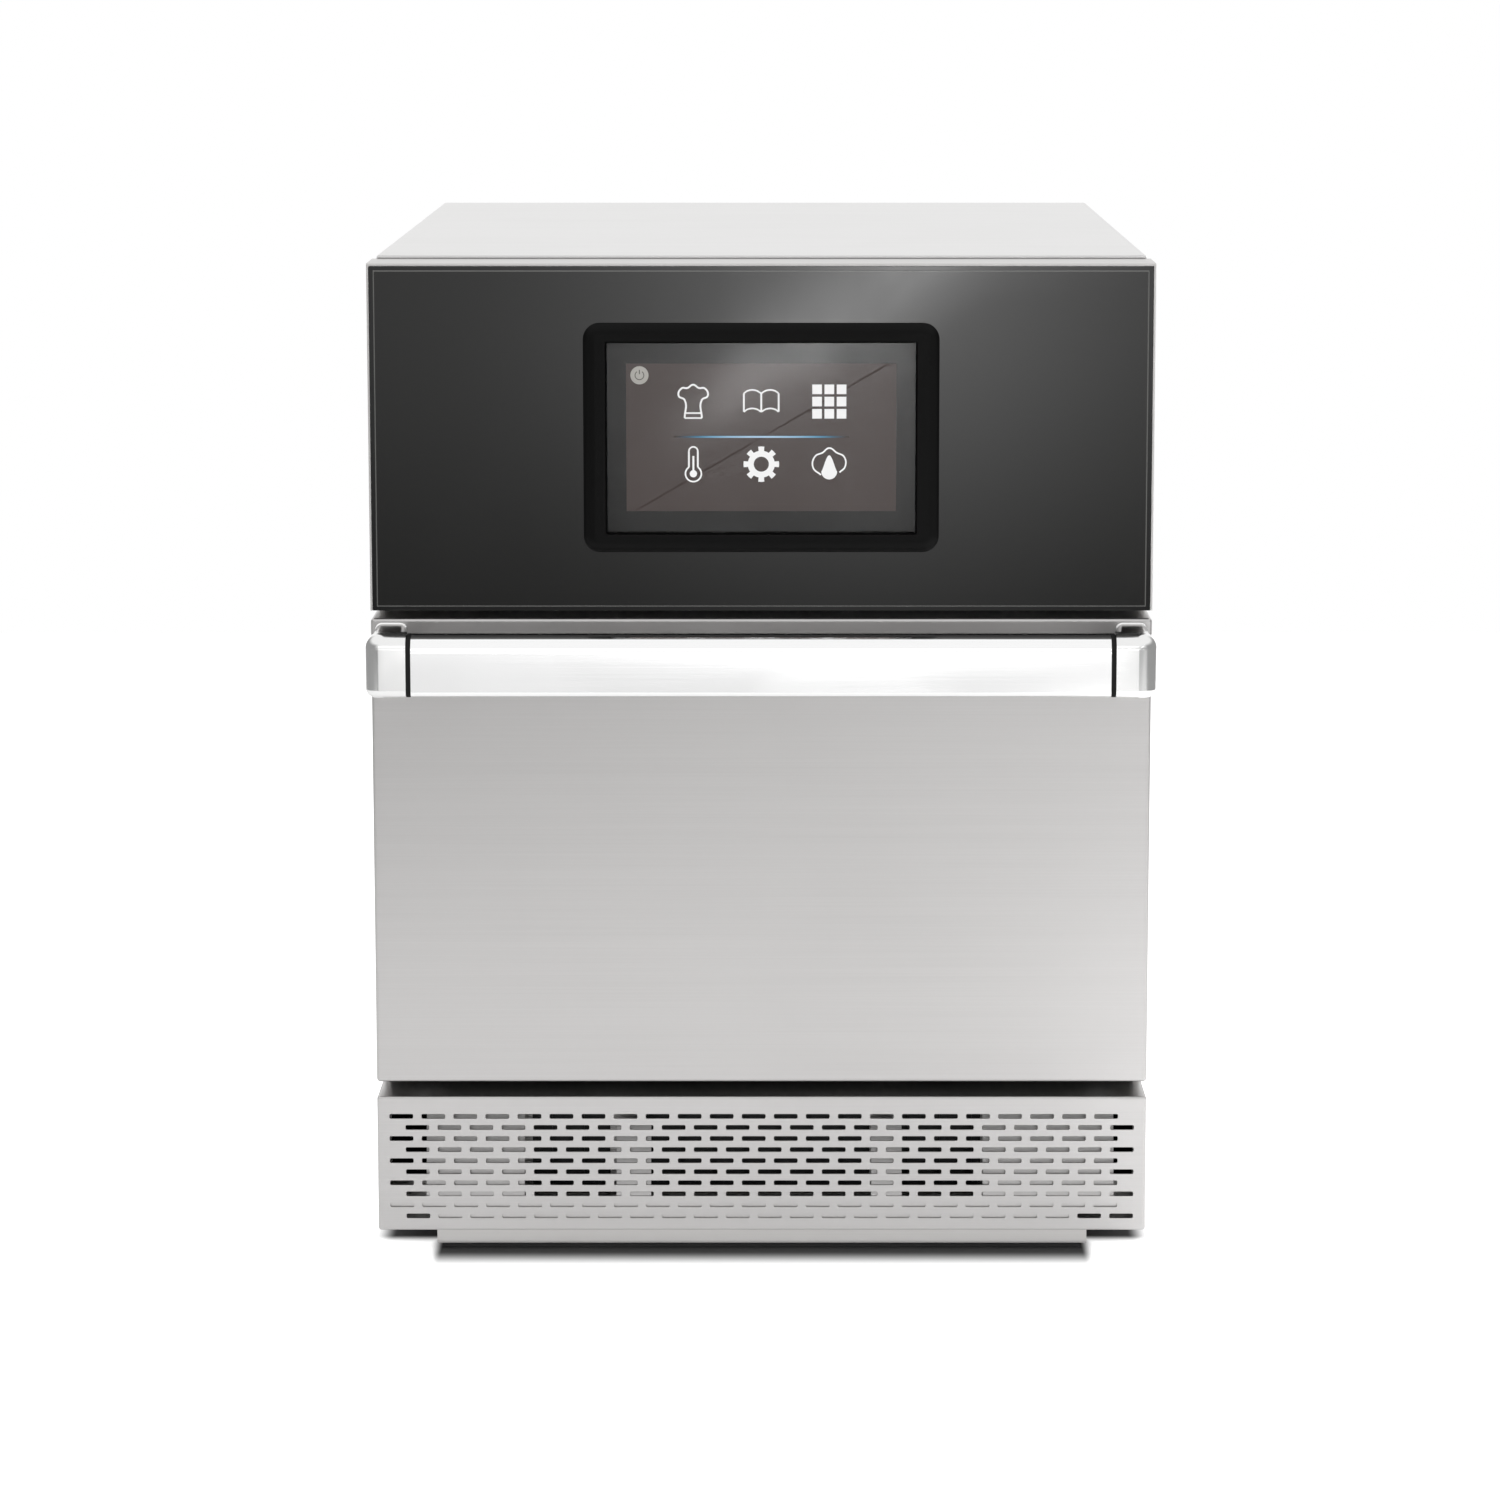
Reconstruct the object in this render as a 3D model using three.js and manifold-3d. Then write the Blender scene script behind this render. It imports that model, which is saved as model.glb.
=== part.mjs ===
// A countertop speed oven: a stainless body, a drop-down door with a full-width handle,
// a black glass fascia with a touch screen above it and a slotted air grille below it.
// Millimetres. X runs to the right, Y to the back, Z up from the floor.
// Inside the oven's own group, Y counts from the front plane of the door.

import * as THREE from "three";
import { mergeVertices } from "three/addons/utils/BufferGeometryUtils.js";
import Module from "manifold-3d";

// Whole oven
const width = 475;
const height = 616;
const bodyDepth = 640;
const moduleDepth = 45; // how deep the fascia, the door and the grille are
const sheet = 1.5; // body sheet steel
const seam = 0.3; // gap left between pieces that rest on each other
const overrun = 2; // how far a cutting shape runs past the piece that it cuts
const roundSides = 20;
const arcSteps = 4; // straight steps in a quarter round

// Feet
const padHeight = 3.2;
const padInset = 3;
const railEndInset = 34; // body's side to the end of a foot rail
const railHeight = 11.7;
const railDepth = 60;
const railRecess = 12;
const railWall = 2;
const rearRailInset = 30;

// Side panels, top cover and rear panel
const bodyInset = 1.5; // side of the modules to the side of the body
const coverThick = 1.7;
const coverInset = 1.2;
const coverFlange = 14;
const hemWidth = 3.5; // folded front edge of a side panel
const hemDepth = 12;
const topFlange = 18;
const panFlange = 25;
const rearInset = 14;
const rearSlotWidth = 5;
const rearSlotLength = 46;
const rearSlotPitch = 13;
const rearSlotMargin = 45; // body's side to the outermost slot
const rearSlotRows = 2;
const rearSlotRowPitch = 60;
const rearSlotDrop = 144; // body's top to the middle of the lower row

// Vent grille
const grilleHeight = 85;
const slotLength = 14.7;
const slotHeight = 3;
const slotPitch = 19.79;
const slotRowPitch = 7.03;
const slotTopMargin = 12.5; // grille's top edge to the middle of the first row
const slotBottomMargin = 8;
const slotSideMargin = 7;

// Door
const doorGapBelow = 9.2;
const doorGapAbove = 4.9;
const foldClear = 5; // back edge of the skin's folds to the front frame
const innerPanelSetback = 8.7; // face of the inner panel to the front frame
const innerPanelRise = 24; // door's lower edge to the inner panel
const sealInset = 4; // cavity mouth to the seal
const sealWidth = 8;
const chokeGap = 1;
const chokeWidth = 12;
const chokeClear = 1.5; // choke ring to the front frame
const probeWidth = 10;
const probeHeight = 8;
const probePast = 13; // front frame's face to the tip of a probe
const probeLift = 4; // how far a probe rises while it leaves its slot, with room to spare
const probeDrop = 5.5; // door's top edge to the top of a probe

// Door hinges
const hingeInset = 26.5; // door's side to the middle of a hinge
const hingeY = 12;
const hingeRise = 12; // door's lower edge to the hinge axis
const pinRadius = 4;
const armThick = 6;
const armRadius = 7;
const lugThick = 6.5;
const lugReach = 6; // hinge axis to the back of a lug
const lugRise = 8;
const bracketFlangeThick = 3;
const bracketFlangeWidth = 22;
const bracketFlangeHeight = 18;
const hingeNotchWidth = 26;

// Handle
const handleReach = 60;
const handleHeight = 36.5;
const handleDrop = 3; // door's top edge to the top of the handle
const handleSideInset = 0.8; // door's side to the side of the handle
const barDepth = 19;
const barRound = 6;
const gasketThick = 3;
const endWidth = 24.7;
const endRound = 13;
const endExtra = 0.8; // how far an end stands out above and below the bar
const armInset = 7; // inner side of an end to the inner side of its arm
const armOuterInset = 1;
const armFillet = 5;

// Fascia
const fasciaHeight = 210.6;
const fasciaRim = 1.2;
const glassThick = 4;
const bezelWidth = 215;
const bezelRise = 35.9; // fascia's lower edge to the bezel
const bezelDrop = 35.7; // fascia's upper edge to the bezel
const bezelSill = 10.9; // height of the bezel's lower border
const bezelHead = 11.1; // height of its upper border
const bezelJamb = 13.3; // width of its side borders
const bezelRound = 10;
const bezelProud = 3;
const screenRound = 4;
const touchThick = 3;
const touchSunk = 1.4; // how far the touch glass reaches behind the fascia's face
const lcdSideMargin = 6.2; // screen's opening to the display
const lcdMargin = 6.5; // the same above and below it
const lcdThick = 8;
const boardSideLap = 5.8; // how far the control board stands out past the screen's opening
const boardLap = 6.5;
const boardThick = 1.6;
const chipHeight = 10;
const chipWidth = 34;
const chipLength = 50;
const chipShares = [
  [-0.3, 0.2],
  [0.05, -0.25],
  [0.32, 0.2],
];

// Front frame
const webShares = [
  [-0.93, -0.62],
  [-0.41, -0.33],
  [0.29, 0.37],
  [0.59, 0.93],
]; // solid webs between the air windows, as shares of the frame's half width
const windowLow = 12; // base pan to the lower edge of the air windows
const windowLap = 1; // how far they reach above the grille
const wireHoleWidth = 60;
const wireHoleHeight = 36;
const wireHoleRise = 80; // fascia's lower edge to the hole for the wiring

// Cavity
const cavityMargin = 36; // body's side to the cavity's side wall
const mouthRise = 50.3; // door's lower edge to the cavity's floor
const mouthDrop = 43.5; // door's upper edge to the cavity's ceiling
const rearSpace = 184.7; // cavity's back wall to the back of the oven
const linerFlange = 12;
const insulationThick = 25;
const jetDrop = 25; // cavity ceiling to the jet plate
const jetRadius = 9;
const jetColumns = 5;
const jetRows = 4;
const jetSides = 8;
const baffleSetback = 60; // baffle to the cavity's back wall
const baffleHole = 14;
const baffleHolePitch = 24;
const baffleHoles = 4;
const railBodyWidth = 16;
const railBodyHeight = 10;
const rackRise = 20; // cavity floor to the underside of the rack rails
const rackInset = 10;
const plateThick = 8;
const plateSideGap = 10;
const plateRound = 12;

// Convection
const fanMargin = 27.5; // fan's tip to the cavity's floor and ceiling
const fanDepth = 36;
const fanDisc = 2;
const fanHub = 13;
const fanBlades = 10;
const bladeThick = 2;
const bladeInnerShare = 0.5;
const fanClear = 16; // fan's back disc to the cavity's back wall
const fanShaft = 6;
const shaftClear = 2;
const motorRadius = 45;
const motorLength = 70;
const motorPlate = 104;
const motorPlateThick = 3;
const motorBore = 42;
const coilClear = 14; // fan's tip to the middle of the heater's tube
const coilTube = 4;
const coilGap = 16; // half the distance between the coil's two ends
const coilSides = 6;
const coilSteps = 54;
const coilRound = 10;

// Stirrer and waveguide
const stirrerShare = 0.49743; // its place in the cavity's depth, from the mouth
const stirrerRadius = 38;
const stirrerBladeHeight = 2;
const stirrerBladeWidth = 18;
const stirrerDrop = 16; // cavity floor to the stirrer's blades
const stirrerShaft = 4;
const stirrerHole = 46;
const coverRadius = 56;
const coverPlate = 3;
const guideWidth = 90;
const guideHeight = 39.9;
const guideReach = 55; // stirrer's axis to the closed front end
const guideBackInset = 170; // open end at the magnetrons to the back of the oven
const stirrerMotorRadius = 25;
const stirrerMotorHeight = 24;
const stirrerMotorBore = 14;

// Magnetrons, transformers and capacitors
const magnetronWidth = 70;
const magnetronDepth = 90;
const magnetronHeight = 80;
const antennaRadius = 9;
const antennaReach = 22;
const finCount = 5;
const finSlot = 5;
const finCut = 55;
const transformerInset = 86; // body's side to the middle of a transformer
const transformerShare = 0.6225; // its place in the free room behind the cooling fan
const coreWidth = 96;
const coreDepth = 60;
const coreHeight = 82;
const windingProud = 18;
const windingInset = 12;
const capacitorGap = 11; // capacitor to the magnetron behind it
const capacitorWidth = 54;
const capacitorDepth = 34;
const capacitorHeight = 82;
const terminalRadius = 3;
const terminalHeight = 9;

// Cooling fans and air filter
const coolerInset = 136; // body's side to the axis of a cooling fan
const coolerY = 62;
const coolerSize = 92;
const coolerDepth = 26;
const coolerBore = 43;
const coolerHub = 18;
const coolerHubDepth = 6;
const coolerStrut = 6;
const rotorRadius = 41;
const rotorHub = 17;
const rotorBlades = 7;
const rotorBladeThick = 2;
const rotorBladeLean = 0.6; // radians
const rotorPin = 3;
const rotorFrontInset = 2;
const filterWidth = 300;
const filterHeight = 76;
const filterThick = 6;
const filterGroove = 3;
const filterGrooves = 14;

// Catalyst, exhaust and electronics
const catalystRadius = 34;
const catalystHeight = 29.5;
const catalystHole = 8;
const catalystPitch = 13;
const exhaustHole = 30;
const ductWidth = 80;
const ductHeight = 44;
const ductWall = 1.5;
const shelfRise = 43; // cavity's ceiling to the electronics shelf
const relaySideGap = 41; // relay board to the body's side
const relayGap = 25; // exhaust duct to the relay board
const relayDepth = 180;
const relayY = 100;
const standoff = 8;
const standoffRadius = 4;
const relayBlock = 28;
const relayBlockHeight = 22;
const relayShares = [
  [-0.25, -0.3],
  [0.25, -0.3],
  [-0.25, 0],
  [0.25, 0],
  [0, 0.3],
];
const bulkheadInset = 154; // bulkhead to the back of the oven
const bulkheadVent = 60;
const bulkheadVentInset = 86;
const bulkheadVentRise = 30;
const filterBoxWidth = 64;
const filterBoxDepth = 44;
const filterBoxHeight = 34;
const filterBoxFoot = 12;
const filterBoxInset = 116; // body's side to the middle of the line filter
const filterBoxSetback = 90; // back of the oven to its middle
const glandInset = 61;
const glandZ = 62;
const glandRadius = 11;
const glandBore = 6;
const glandFlange = 17;
const glandFlangeThick = 4;
const glandNose = 9;
const glandInside = 14;

// Widths and places from side to side that follow from the sizes above
const halfWidth = width / 2;
const bodyHalf = halfWidth - bodyInset;
const innerHalf = bodyHalf - sheet - seam;
const railLength = 2 * (bodyHalf - railEndInset);
const hingeX = halfWidth - hingeInset;
const barLength = width - 2 * (endWidth + gasketThick + handleSideInset);
const cavityHalf = bodyHalf - cavityMargin;
const cavityWidth = 2 * cavityHalf;
const plateWidth = cavityWidth - 2 * plateSideGap;
const screenWidth = bezelWidth - 2 * bezelJamb;
const lcdWidth = screenWidth - 2 * lcdSideMargin;
const boardWidth = screenWidth + 2 * boardSideLap;
const transformerX = bodyHalf - transformerInset;
const coolerX = bodyHalf - coolerInset;
const bulkheadVentX = bodyHalf - bulkheadVentInset;
const relayLeft = ductWidth / 2 + relayGap;
const relayWidth = bodyHalf - relaySideGap - relayLeft;
const relayX = relayLeft + relayWidth / 2;
const filterBoxX = bodyHalf - filterBoxInset;
const glandX = bodyHalf - glandInset;
const slotSpan = width - 2 * slotSideMargin - slotLength - slotPitch / 2;
const slotsInRow = Math.floor(slotSpan / slotPitch) + 1;
const rearSlotSpan = innerHalf - ductWidth / 2 - rearSlotMargin;
const rearSlotColumns = Math.floor(rearSlotSpan / rearSlotPitch);

// Heights that follow
const railZ = padHeight + seam;
const baseZ = railZ + railHeight + seam;
const panTop = baseZ + sheet + seam;
const doorBottom = baseZ + grilleHeight + doorGapBelow;
const moduleTop = height - coverThick - seam;
const fasciaBottom = moduleTop - fasciaHeight;
const doorHeight = fasciaBottom - doorGapAbove - doorBottom;
const bezelHeight = fasciaHeight - bezelRise - bezelDrop;
const screenRise = bezelRise + bezelSill;
const screenHeight = bezelHeight - bezelSill - bezelHead;
const lcdHeight = screenHeight - 2 * lcdMargin;
const boardHeight = screenHeight + 2 * boardLap;
const windowHigh = grilleHeight + windowLap;
const slotRoom = grilleHeight - slotTopMargin - slotBottomMargin;
const slotRows = Math.floor(slotRoom / slotRowPitch) + 1;
const cavityFloor = doorBottom + mouthRise;
const cavityHeight = doorHeight - mouthRise - mouthDrop;
const cavityMiddle = cavityFloor + cavityHeight / 2;
const fanRadius = cavityHeight / 2 - fanMargin;
const coilRadius = fanRadius + coilClear;
const insulationBottom = cavityFloor - sheet - seam - insulationThick;
const guideTop = insulationBottom - seam;
const guideBottom = guideTop - guideHeight;
const shelfHeight = cavityFloor + cavityHeight + shelfRise;
const rearSlotHeight = moduleTop - rearSlotDrop;

// Places from front to back that follow
const frameBack = moduleDepth + sheet;
const foldDepth = moduleDepth - foldClear; // front face to the back edge of the skin's folds
const innerPanelY = moduleDepth - innerPanelSetback;
const chokeBackY = moduleDepth - chokeClear;
const probeReach = moduleDepth + probePast;
const rearPanelY = bodyDepth - rearInset;
const cavityFront = frameBack + seam;
const cavityDepth = bodyDepth - rearSpace - cavityFront;
const baffleY = cavityDepth - baffleSetback; // from the cavity's front
const fanY = cavityDepth - fanClear; // back face of the fan's disc, from the cavity's front
const stirrerY = cavityFront + cavityDepth * stirrerShare;
const guideFrontY = stirrerY - guideReach;
const guideBackY = bodyDepth - guideBackInset;
const magnetronY = guideBackY - magnetronDepth;
const capacitorY = magnetronY - capacitorGap - capacitorDepth;
const bulkheadY = bodyDepth - bulkheadInset;
const filterBoxY = bodyDepth - filterBoxSetback;
const coolerBack = coolerY + coolerDepth;
const freeRoom = capacitorY - coolerBack - coreDepth - 2 * windingProud;
const transformerY = coolerBack + freeRoom * transformerShare + windingProud;

const sides = [
  ["left", -1],
  ["right", 1],
];

const steel = { color: 0xc9c7c4, roughness: 0.34, metalness: 0.9 };
const darkSteel = { color: 0x8d8d8c, roughness: 0.45, metalness: 0.85 };
const castMetal = { color: 0xd8d8d6, roughness: 0.3, metalness: 0.85 };
const blackGlass = { color: 0x151516, roughness: 0.08, metalness: 0 };
const blackPlastic = { color: 0x1d1d1e, roughness: 0.45, metalness: 0 };
const screenGlass = { color: 0x5e5a58, roughness: 0.12, metalness: 0 };
const rubber = { color: 0x1b1b1b, roughness: 0.85, metalness: 0 };
const mineralWool = { color: 0xd8cfa8, roughness: 0.95, metalness: 0 };
const stone = { color: 0xb9a98c, roughness: 0.8, metalness: 0 };
const boardGreen = { color: 0x2c6b45, roughness: 0.6, metalness: 0 };
const copper = { color: 0xb8734a, roughness: 0.45, metalness: 0.8 };
const aluminium = { color: 0xcfd2d4, roughness: 0.35, metalness: 0.9 };
const ceramic = { color: 0xe9e4d8, roughness: 0.5, metalness: 0 };

const wasm = await Module();
wasm.setup();

// A closed geometry as a solid that can be joined and cut.
function solidOf(geometry) {
  const bare = geometry.clone();
  bare.deleteAttribute("normal");
  bare.deleteAttribute("uv");
  const merged = mergeVertices(bare);
  const mesh = new wasm.Mesh({
    numProp: 3,
    vertProperties: merged.getAttribute("position").array,
    triVerts: new Uint32Array(merged.index.array),
  });
  return new wasm.Manifold(mesh);
}

function join(first, ...others) {
  return others.reduce((sum, other) => sum.add(other), first);
}

function cut(first, ...tools) {
  return tools.reduce((rest, tool) => rest.subtract(tool), first);
}

// A block between two corners, given in any order.
function block(x0, x1, y0, y1, z0, z1) {
  const size = [x1 - x0, y1 - y0, z1 - z0].map(Math.abs);
  const geometry = new THREE.BoxGeometry(...size);
  geometry.translate((x0 + x1) / 2, (y0 + y1) / 2, (z0 + z1) / 2);
  return solidOf(geometry);
}

// A round rod along an axis, from start to end, through the given point.
function rod(axis, radius, start, end, [x, y, z] = [0, 0, 0], sideCount = roundSides) {
  const geometry = new THREE.CylinderGeometry(radius, radius, end - start, sideCount);
  geometry.translate(0, (start + end) / 2, 0);
  if (axis === "x") geometry.rotateZ(-Math.PI / 2);
  if (axis === "z") geometry.rotateX(Math.PI / 2);
  geometry.translate(x, y, z);
  return solidOf(geometry);
}

// A rectangle with rounded corners, as an outline.
function rounded(x0, x1, z0, z1, radius) {
  const outline = new THREE.Shape();
  outline.absarc(x1 - radius, z0 + radius, radius, -Math.PI / 2, 0);
  outline.absarc(x1 - radius, z1 - radius, radius, 0, Math.PI / 2);
  outline.absarc(x0 + radius, z1 - radius, radius, Math.PI / 2, Math.PI);
  outline.absarc(x0 + radius, z0 + radius, radius, Math.PI, Math.PI * 1.5);
  outline.closePath();
  return outline;
}

// An upright plate: an outline in X and Z, thick in Y.
function upright(outline, y0, y1) {
  const options = { depth: y1 - y0, bevelEnabled: false, curveSegments: arcSteps };
  const geometry = new THREE.ExtrudeGeometry(outline, options);
  geometry.rotateX(Math.PI / 2);
  geometry.translate(0, y1, 0);
  return solidOf(geometry);
}

// A level plate: an outline in X and Y, thick in Z.
function level(outline, z0, z1) {
  const options = { depth: z1 - z0, bevelEnabled: false, curveSegments: arcSteps };
  const geometry = new THREE.ExtrudeGeometry(outline, options);
  geometry.translate(0, 0, z0);
  return solidOf(geometry);
}

// An upright plate with rectangular holes, each given by its X and Z limits.
function uprightPlate(x0, x1, z0, z1, holes, y0, y1) {
  const tools = holes.map(([left, right, low, high]) =>
    block(left, right, y0 - overrun, y1 + overrun, low, high),
  );
  return cut(block(x0, x1, y0, y1, z0, z1), ...tools);
}

// A rectangular ring round the cavity's mouth, in the door's own heights.
function mouthRing(inner, outer, y0, y1) {
  const low = cavityFloor - doorBottom;
  const high = low + cavityHeight;
  const [wide, tight] = [cavityHalf + outer, cavityHalf + inner];
  const hole = [-tight, tight, low - inner, high + inner];
  return uprightPlate(-wide, wide, low - outer, high + outer, [hole], y0, y1);
}

function add(group, name, solid, finish) {
  const { vertProperties, triVerts } = solid.getMesh();
  const geometry = new THREE.BufferGeometry();
  geometry.setAttribute("position", new THREE.BufferAttribute(vertProperties, 3));
  geometry.setIndex(new THREE.BufferAttribute(triVerts, 1));
  geometry.computeVertexNormals();
  const mesh = new THREE.Mesh(geometry, new THREE.MeshStandardMaterial(finish));
  mesh.name = name;
  group.add(mesh);
  return mesh;
}

// Feet: a box-section rail on a rubber strip, under the front and under the back.
function footRail(y) {
  const half = railLength / 2;
  const tube = block(-half, half, y, y + railDepth, railZ, railZ + railHeight);
  const hollow = block(
    -half - overrun,
    half + overrun,
    y + railWall,
    y + railDepth - railWall,
    railZ + railWall,
    railZ + railHeight - railWall,
  );
  return cut(tube, hollow);
}

function footPad(y) {
  const half = railLength / 2 - padInset;
  return block(-half, half, y + padInset, y + railDepth - padInset, 0, padHeight);
}

// Base pan: the floor of the body, with its sides turned up.
function basePan() {
  const floor = block(-innerHalf, innerHalf, moduleDepth, bodyDepth, baseZ, baseZ + sheet);
  const front = moduleDepth + hemDepth + seam;
  const flanges = sides.map(([, side]) =>
    block(
      side * innerHalf,
      side * (innerHalf - sheet),
      front,
      rearPanelY - seam,
      baseZ,
      baseZ + panFlange,
    ),
  );
  return join(floor, ...flanges);
}

// Side panel: sheet with a folded front edge and a flange under the cover.
function sidePanel(side) {
  const wall = block(
    side * bodyHalf,
    side * (bodyHalf - sheet),
    moduleDepth,
    bodyDepth,
    baseZ,
    moduleTop,
  );
  const hem = block(
    side * bodyHalf,
    side * (bodyHalf - hemWidth),
    moduleDepth,
    moduleDepth + hemDepth,
    panTop,
    moduleTop,
  );
  const flange = block(
    side * bodyHalf,
    side * (bodyHalf - topFlange),
    cavityFront,
    bodyDepth,
    moduleTop - sheet,
    moduleTop,
  );
  return join(wall, hem, flange);
}

function topCover() {
  const half = bodyHalf - coverInset;
  const bottom = height - coverThick;
  const plate = block(-half, half, moduleDepth, bodyDepth, bottom, height);
  const lip = bodyHalf - topFlange - seam;
  const flange = block(-lip, lip, bodyDepth - sheet, bodyDepth, bottom - coverFlange, height);
  return join(plate, flange);
}

// Rear panel: vents for the electronics, slots for the exhaust and a hole for the gland.
function rearPanel() {
  const top = moduleTop - sheet - seam;
  const half = rearSlotWidth / 2;
  const holes = [];
  for (let row = 0; row < rearSlotRows; row++) {
    const low = rearSlotHeight + row * rearSlotRowPitch - rearSlotLength / 2;
    for (const [, side] of sides) {
      for (let column = 0; column < rearSlotColumns; column++) {
        const x = side * (ductWidth / 2 + rearSlotPitch * (column + 0.5));
        holes.push([x - half, x + half, low, low + rearSlotLength]);
      }
    }
  }
  const exhaustLow = shelfHeight + sheet + seam + ductWall;
  const exhaustHigh = exhaustLow + ductHeight - 2 * ductWall;
  const count = Math.floor(ductWidth / rearSlotPitch);
  for (let slot = 0; slot < count; slot++) {
    const x = (slot - (count - 1) / 2) * rearSlotPitch;
    holes.push([x - half, x + half, exhaustLow, exhaustHigh]);
  }
  const faces = [rearPanelY, rearPanelY + sheet];
  const panel = uprightPlate(-innerHalf, innerHalf, panTop, top, holes, ...faces);
  const reach = [rearPanelY - overrun, rearPanelY + sheet + overrun];
  return cut(panel, rod("y", glandRadius + seam, ...reach, [glandX, 0, glandZ]));
}

// Front frame: the wall behind the modules, with the cavity's mouth, the air windows
// between its webs, the slots for the door's probes and a hole for the wiring.
function frontFrame() {
  const half = bodyHalf - hemWidth - seam;
  const holes = [[-cavityHalf, cavityHalf, cavityFloor, cavityFloor + cavityHeight]];
  for (let gap = 0; gap < webShares.length - 1; gap++) {
    const [x0, x1] = [webShares[gap][1] * half, webShares[gap + 1][0] * half];
    holes.push([x0, x1, baseZ + windowLow, baseZ + windowHigh]);
  }
  const probeTop = doorBottom + doorHeight - probeDrop;
  for (const [, side] of sides) {
    const x = side * cavityHalf;
    const reach = probeWidth / 2 + shaftClear;
    const low = probeTop - probeHeight - shaftClear;
    holes.push([x - reach, x + reach, low, probeTop + probeLift]);
  }
  const wires = fasciaBottom + wireHoleRise;
  holes.push([-wireHoleWidth / 2, wireHoleWidth / 2, wires, wires + wireHoleHeight]);
  return uprightPlate(-half, half, panTop, moduleTop, holes, moduleDepth, frameBack);
}

// Rear bulkhead: carries the convection motor and lets air and exhaust through.
function rearBulkhead() {
  const top = moduleTop - sheet - seam;
  const half = innerHalf - sheet - seam;
  const ventHalf = bulkheadVent / 2;
  const ventLow = panTop + bulkheadVentRise;
  const holes = sides.map(([, side]) => {
    const x = side * bulkheadVentX;
    return [x - ventHalf, x + ventHalf, ventLow, ventLow + bulkheadVent];
  });
  const ductHalf = ductWidth / 2 + seam;
  const ductLow = shelfHeight + sheet;
  holes.push([-ductHalf, ductHalf, ductLow, ductLow + ductHeight + 2 * seam]);
  const plate = uprightPlate(-half, half, panTop, top, holes, bulkheadY, bulkheadY + sheet);
  const reach = [bulkheadY - overrun, bulkheadY + sheet + overrun];
  return cut(plate, rod("y", fanShaft + shaftClear, ...reach, [0, 0, cavityMiddle]));
}

// Electronics shelf: a level sheet over the cavity, open where the exhaust rises.
function electronicsShelf() {
  const half = innerHalf - sheet - seam;
  const front = moduleDepth + hemDepth + seam;
  const top = shelfHeight + sheet;
  const plate = block(-half, half, front, bulkheadY - seam, shelfHeight, top);
  const reach = ductWidth / 2 + seam;
  const [low, high] = [shelfHeight - overrun, top + overrun];
  return cut(plate, block(-reach, reach, stirrerY - reach, stirrerY + reach, low, high));
}

// The cavity's pieces count Y from its mouth and Z from its floor.
// Cavity liner: a box open at the front, with a flange round its mouth.
function cavityLiner() {
  const half = cavityHalf;
  const outer = half + sheet;
  const flange = outer + linerFlange;
  const shell = join(
    block(-outer, outer, 0, cavityDepth + sheet, -sheet, cavityHeight + sheet),
    block(-flange, flange, 0, sheet, -sheet - linerFlange, cavityHeight + sheet + linerFlange),
  );
  const inside = block(-half, half, -overrun, cavityDepth, 0, cavityHeight);
  const centre = stirrerY - cavityFront;
  const floorHole = rod("z", stirrerHole, -sheet - overrun, overrun, [0, centre, 0]);
  const roofHole = rod(
    "z",
    exhaustHole,
    cavityHeight - overrun,
    cavityHeight + sheet + overrun,
    [0, centre, 0],
  );
  return cut(shell, inside, floorHole, roofHole, ...backHoles(cavityDepth, sheet));
}

// Holes in a wall behind the cavity, for the fan's shaft and the heater's two ends.
function backHoles(y, thick) {
  const middle = cavityHeight / 2;
  const reach = [y - overrun, y + thick + overrun];
  const shaft = rod("y", fanShaft + shaftClear, ...reach, [0, 0, middle]);
  const ends = sides.map(([, side]) =>
    rod("y", coilTube + 2 * seam, ...reach, [side * coilGap, 0, middle - coilRadius]),
  );
  return [shaft, ...ends];
}

// Insulation: mineral wool wrapped round the liner, open at the front.
function cavityInsulation() {
  const inner = cavityHalf + sheet + seam;
  const outer = inner + insulationThick;
  const front = sheet + seam;
  const back = cavityDepth + sheet + seam;
  const low = -sheet - seam;
  const high = cavityHeight + sheet + seam;
  const blanket = block(
    -outer,
    outer,
    front,
    back + insulationThick,
    low - insulationThick,
    high + insulationThick,
  );
  const inside = block(-inner, inner, front - overrun, back, low, high);
  const centre = stirrerY - cavityFront;
  const below = [low - insulationThick - overrun, low + overrun];
  const above = [high - overrun, high + insulationThick + overrun];
  const floorHole = rod("z", stirrerHole + shaftClear, ...below, [0, centre, 0]);
  const roofHole = rod("z", catalystRadius + seam, ...above, [0, centre, 0]);
  return cut(blanket, inside, floorHole, roofHole, ...backHoles(back, insulationThick));
}

// Jet plate: a false ceiling with round nozzles that blow down on the food.
function jetPlate() {
  const half = cavityHalf - seam;
  const low = cavityHeight - jetDrop;
  const plate = block(-half, half, seam, baffleY + sheet, low, low + sheet);
  const nozzles = [];
  for (let row = 0; row < jetRows; row++) {
    for (let column = 0; column < jetColumns; column++) {
      const x = (column - (jetColumns - 1) / 2) * (cavityWidth / jetColumns);
      const y = (row + 0.5) * (baffleY / jetRows);
      const reach = [low - overrun, low + sheet + overrun];
      nozzles.push(rod("z", jetRadius, ...reach, [x, y, 0], jetSides));
    }
  }
  return cut(plate, ...nozzles);
}

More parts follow.
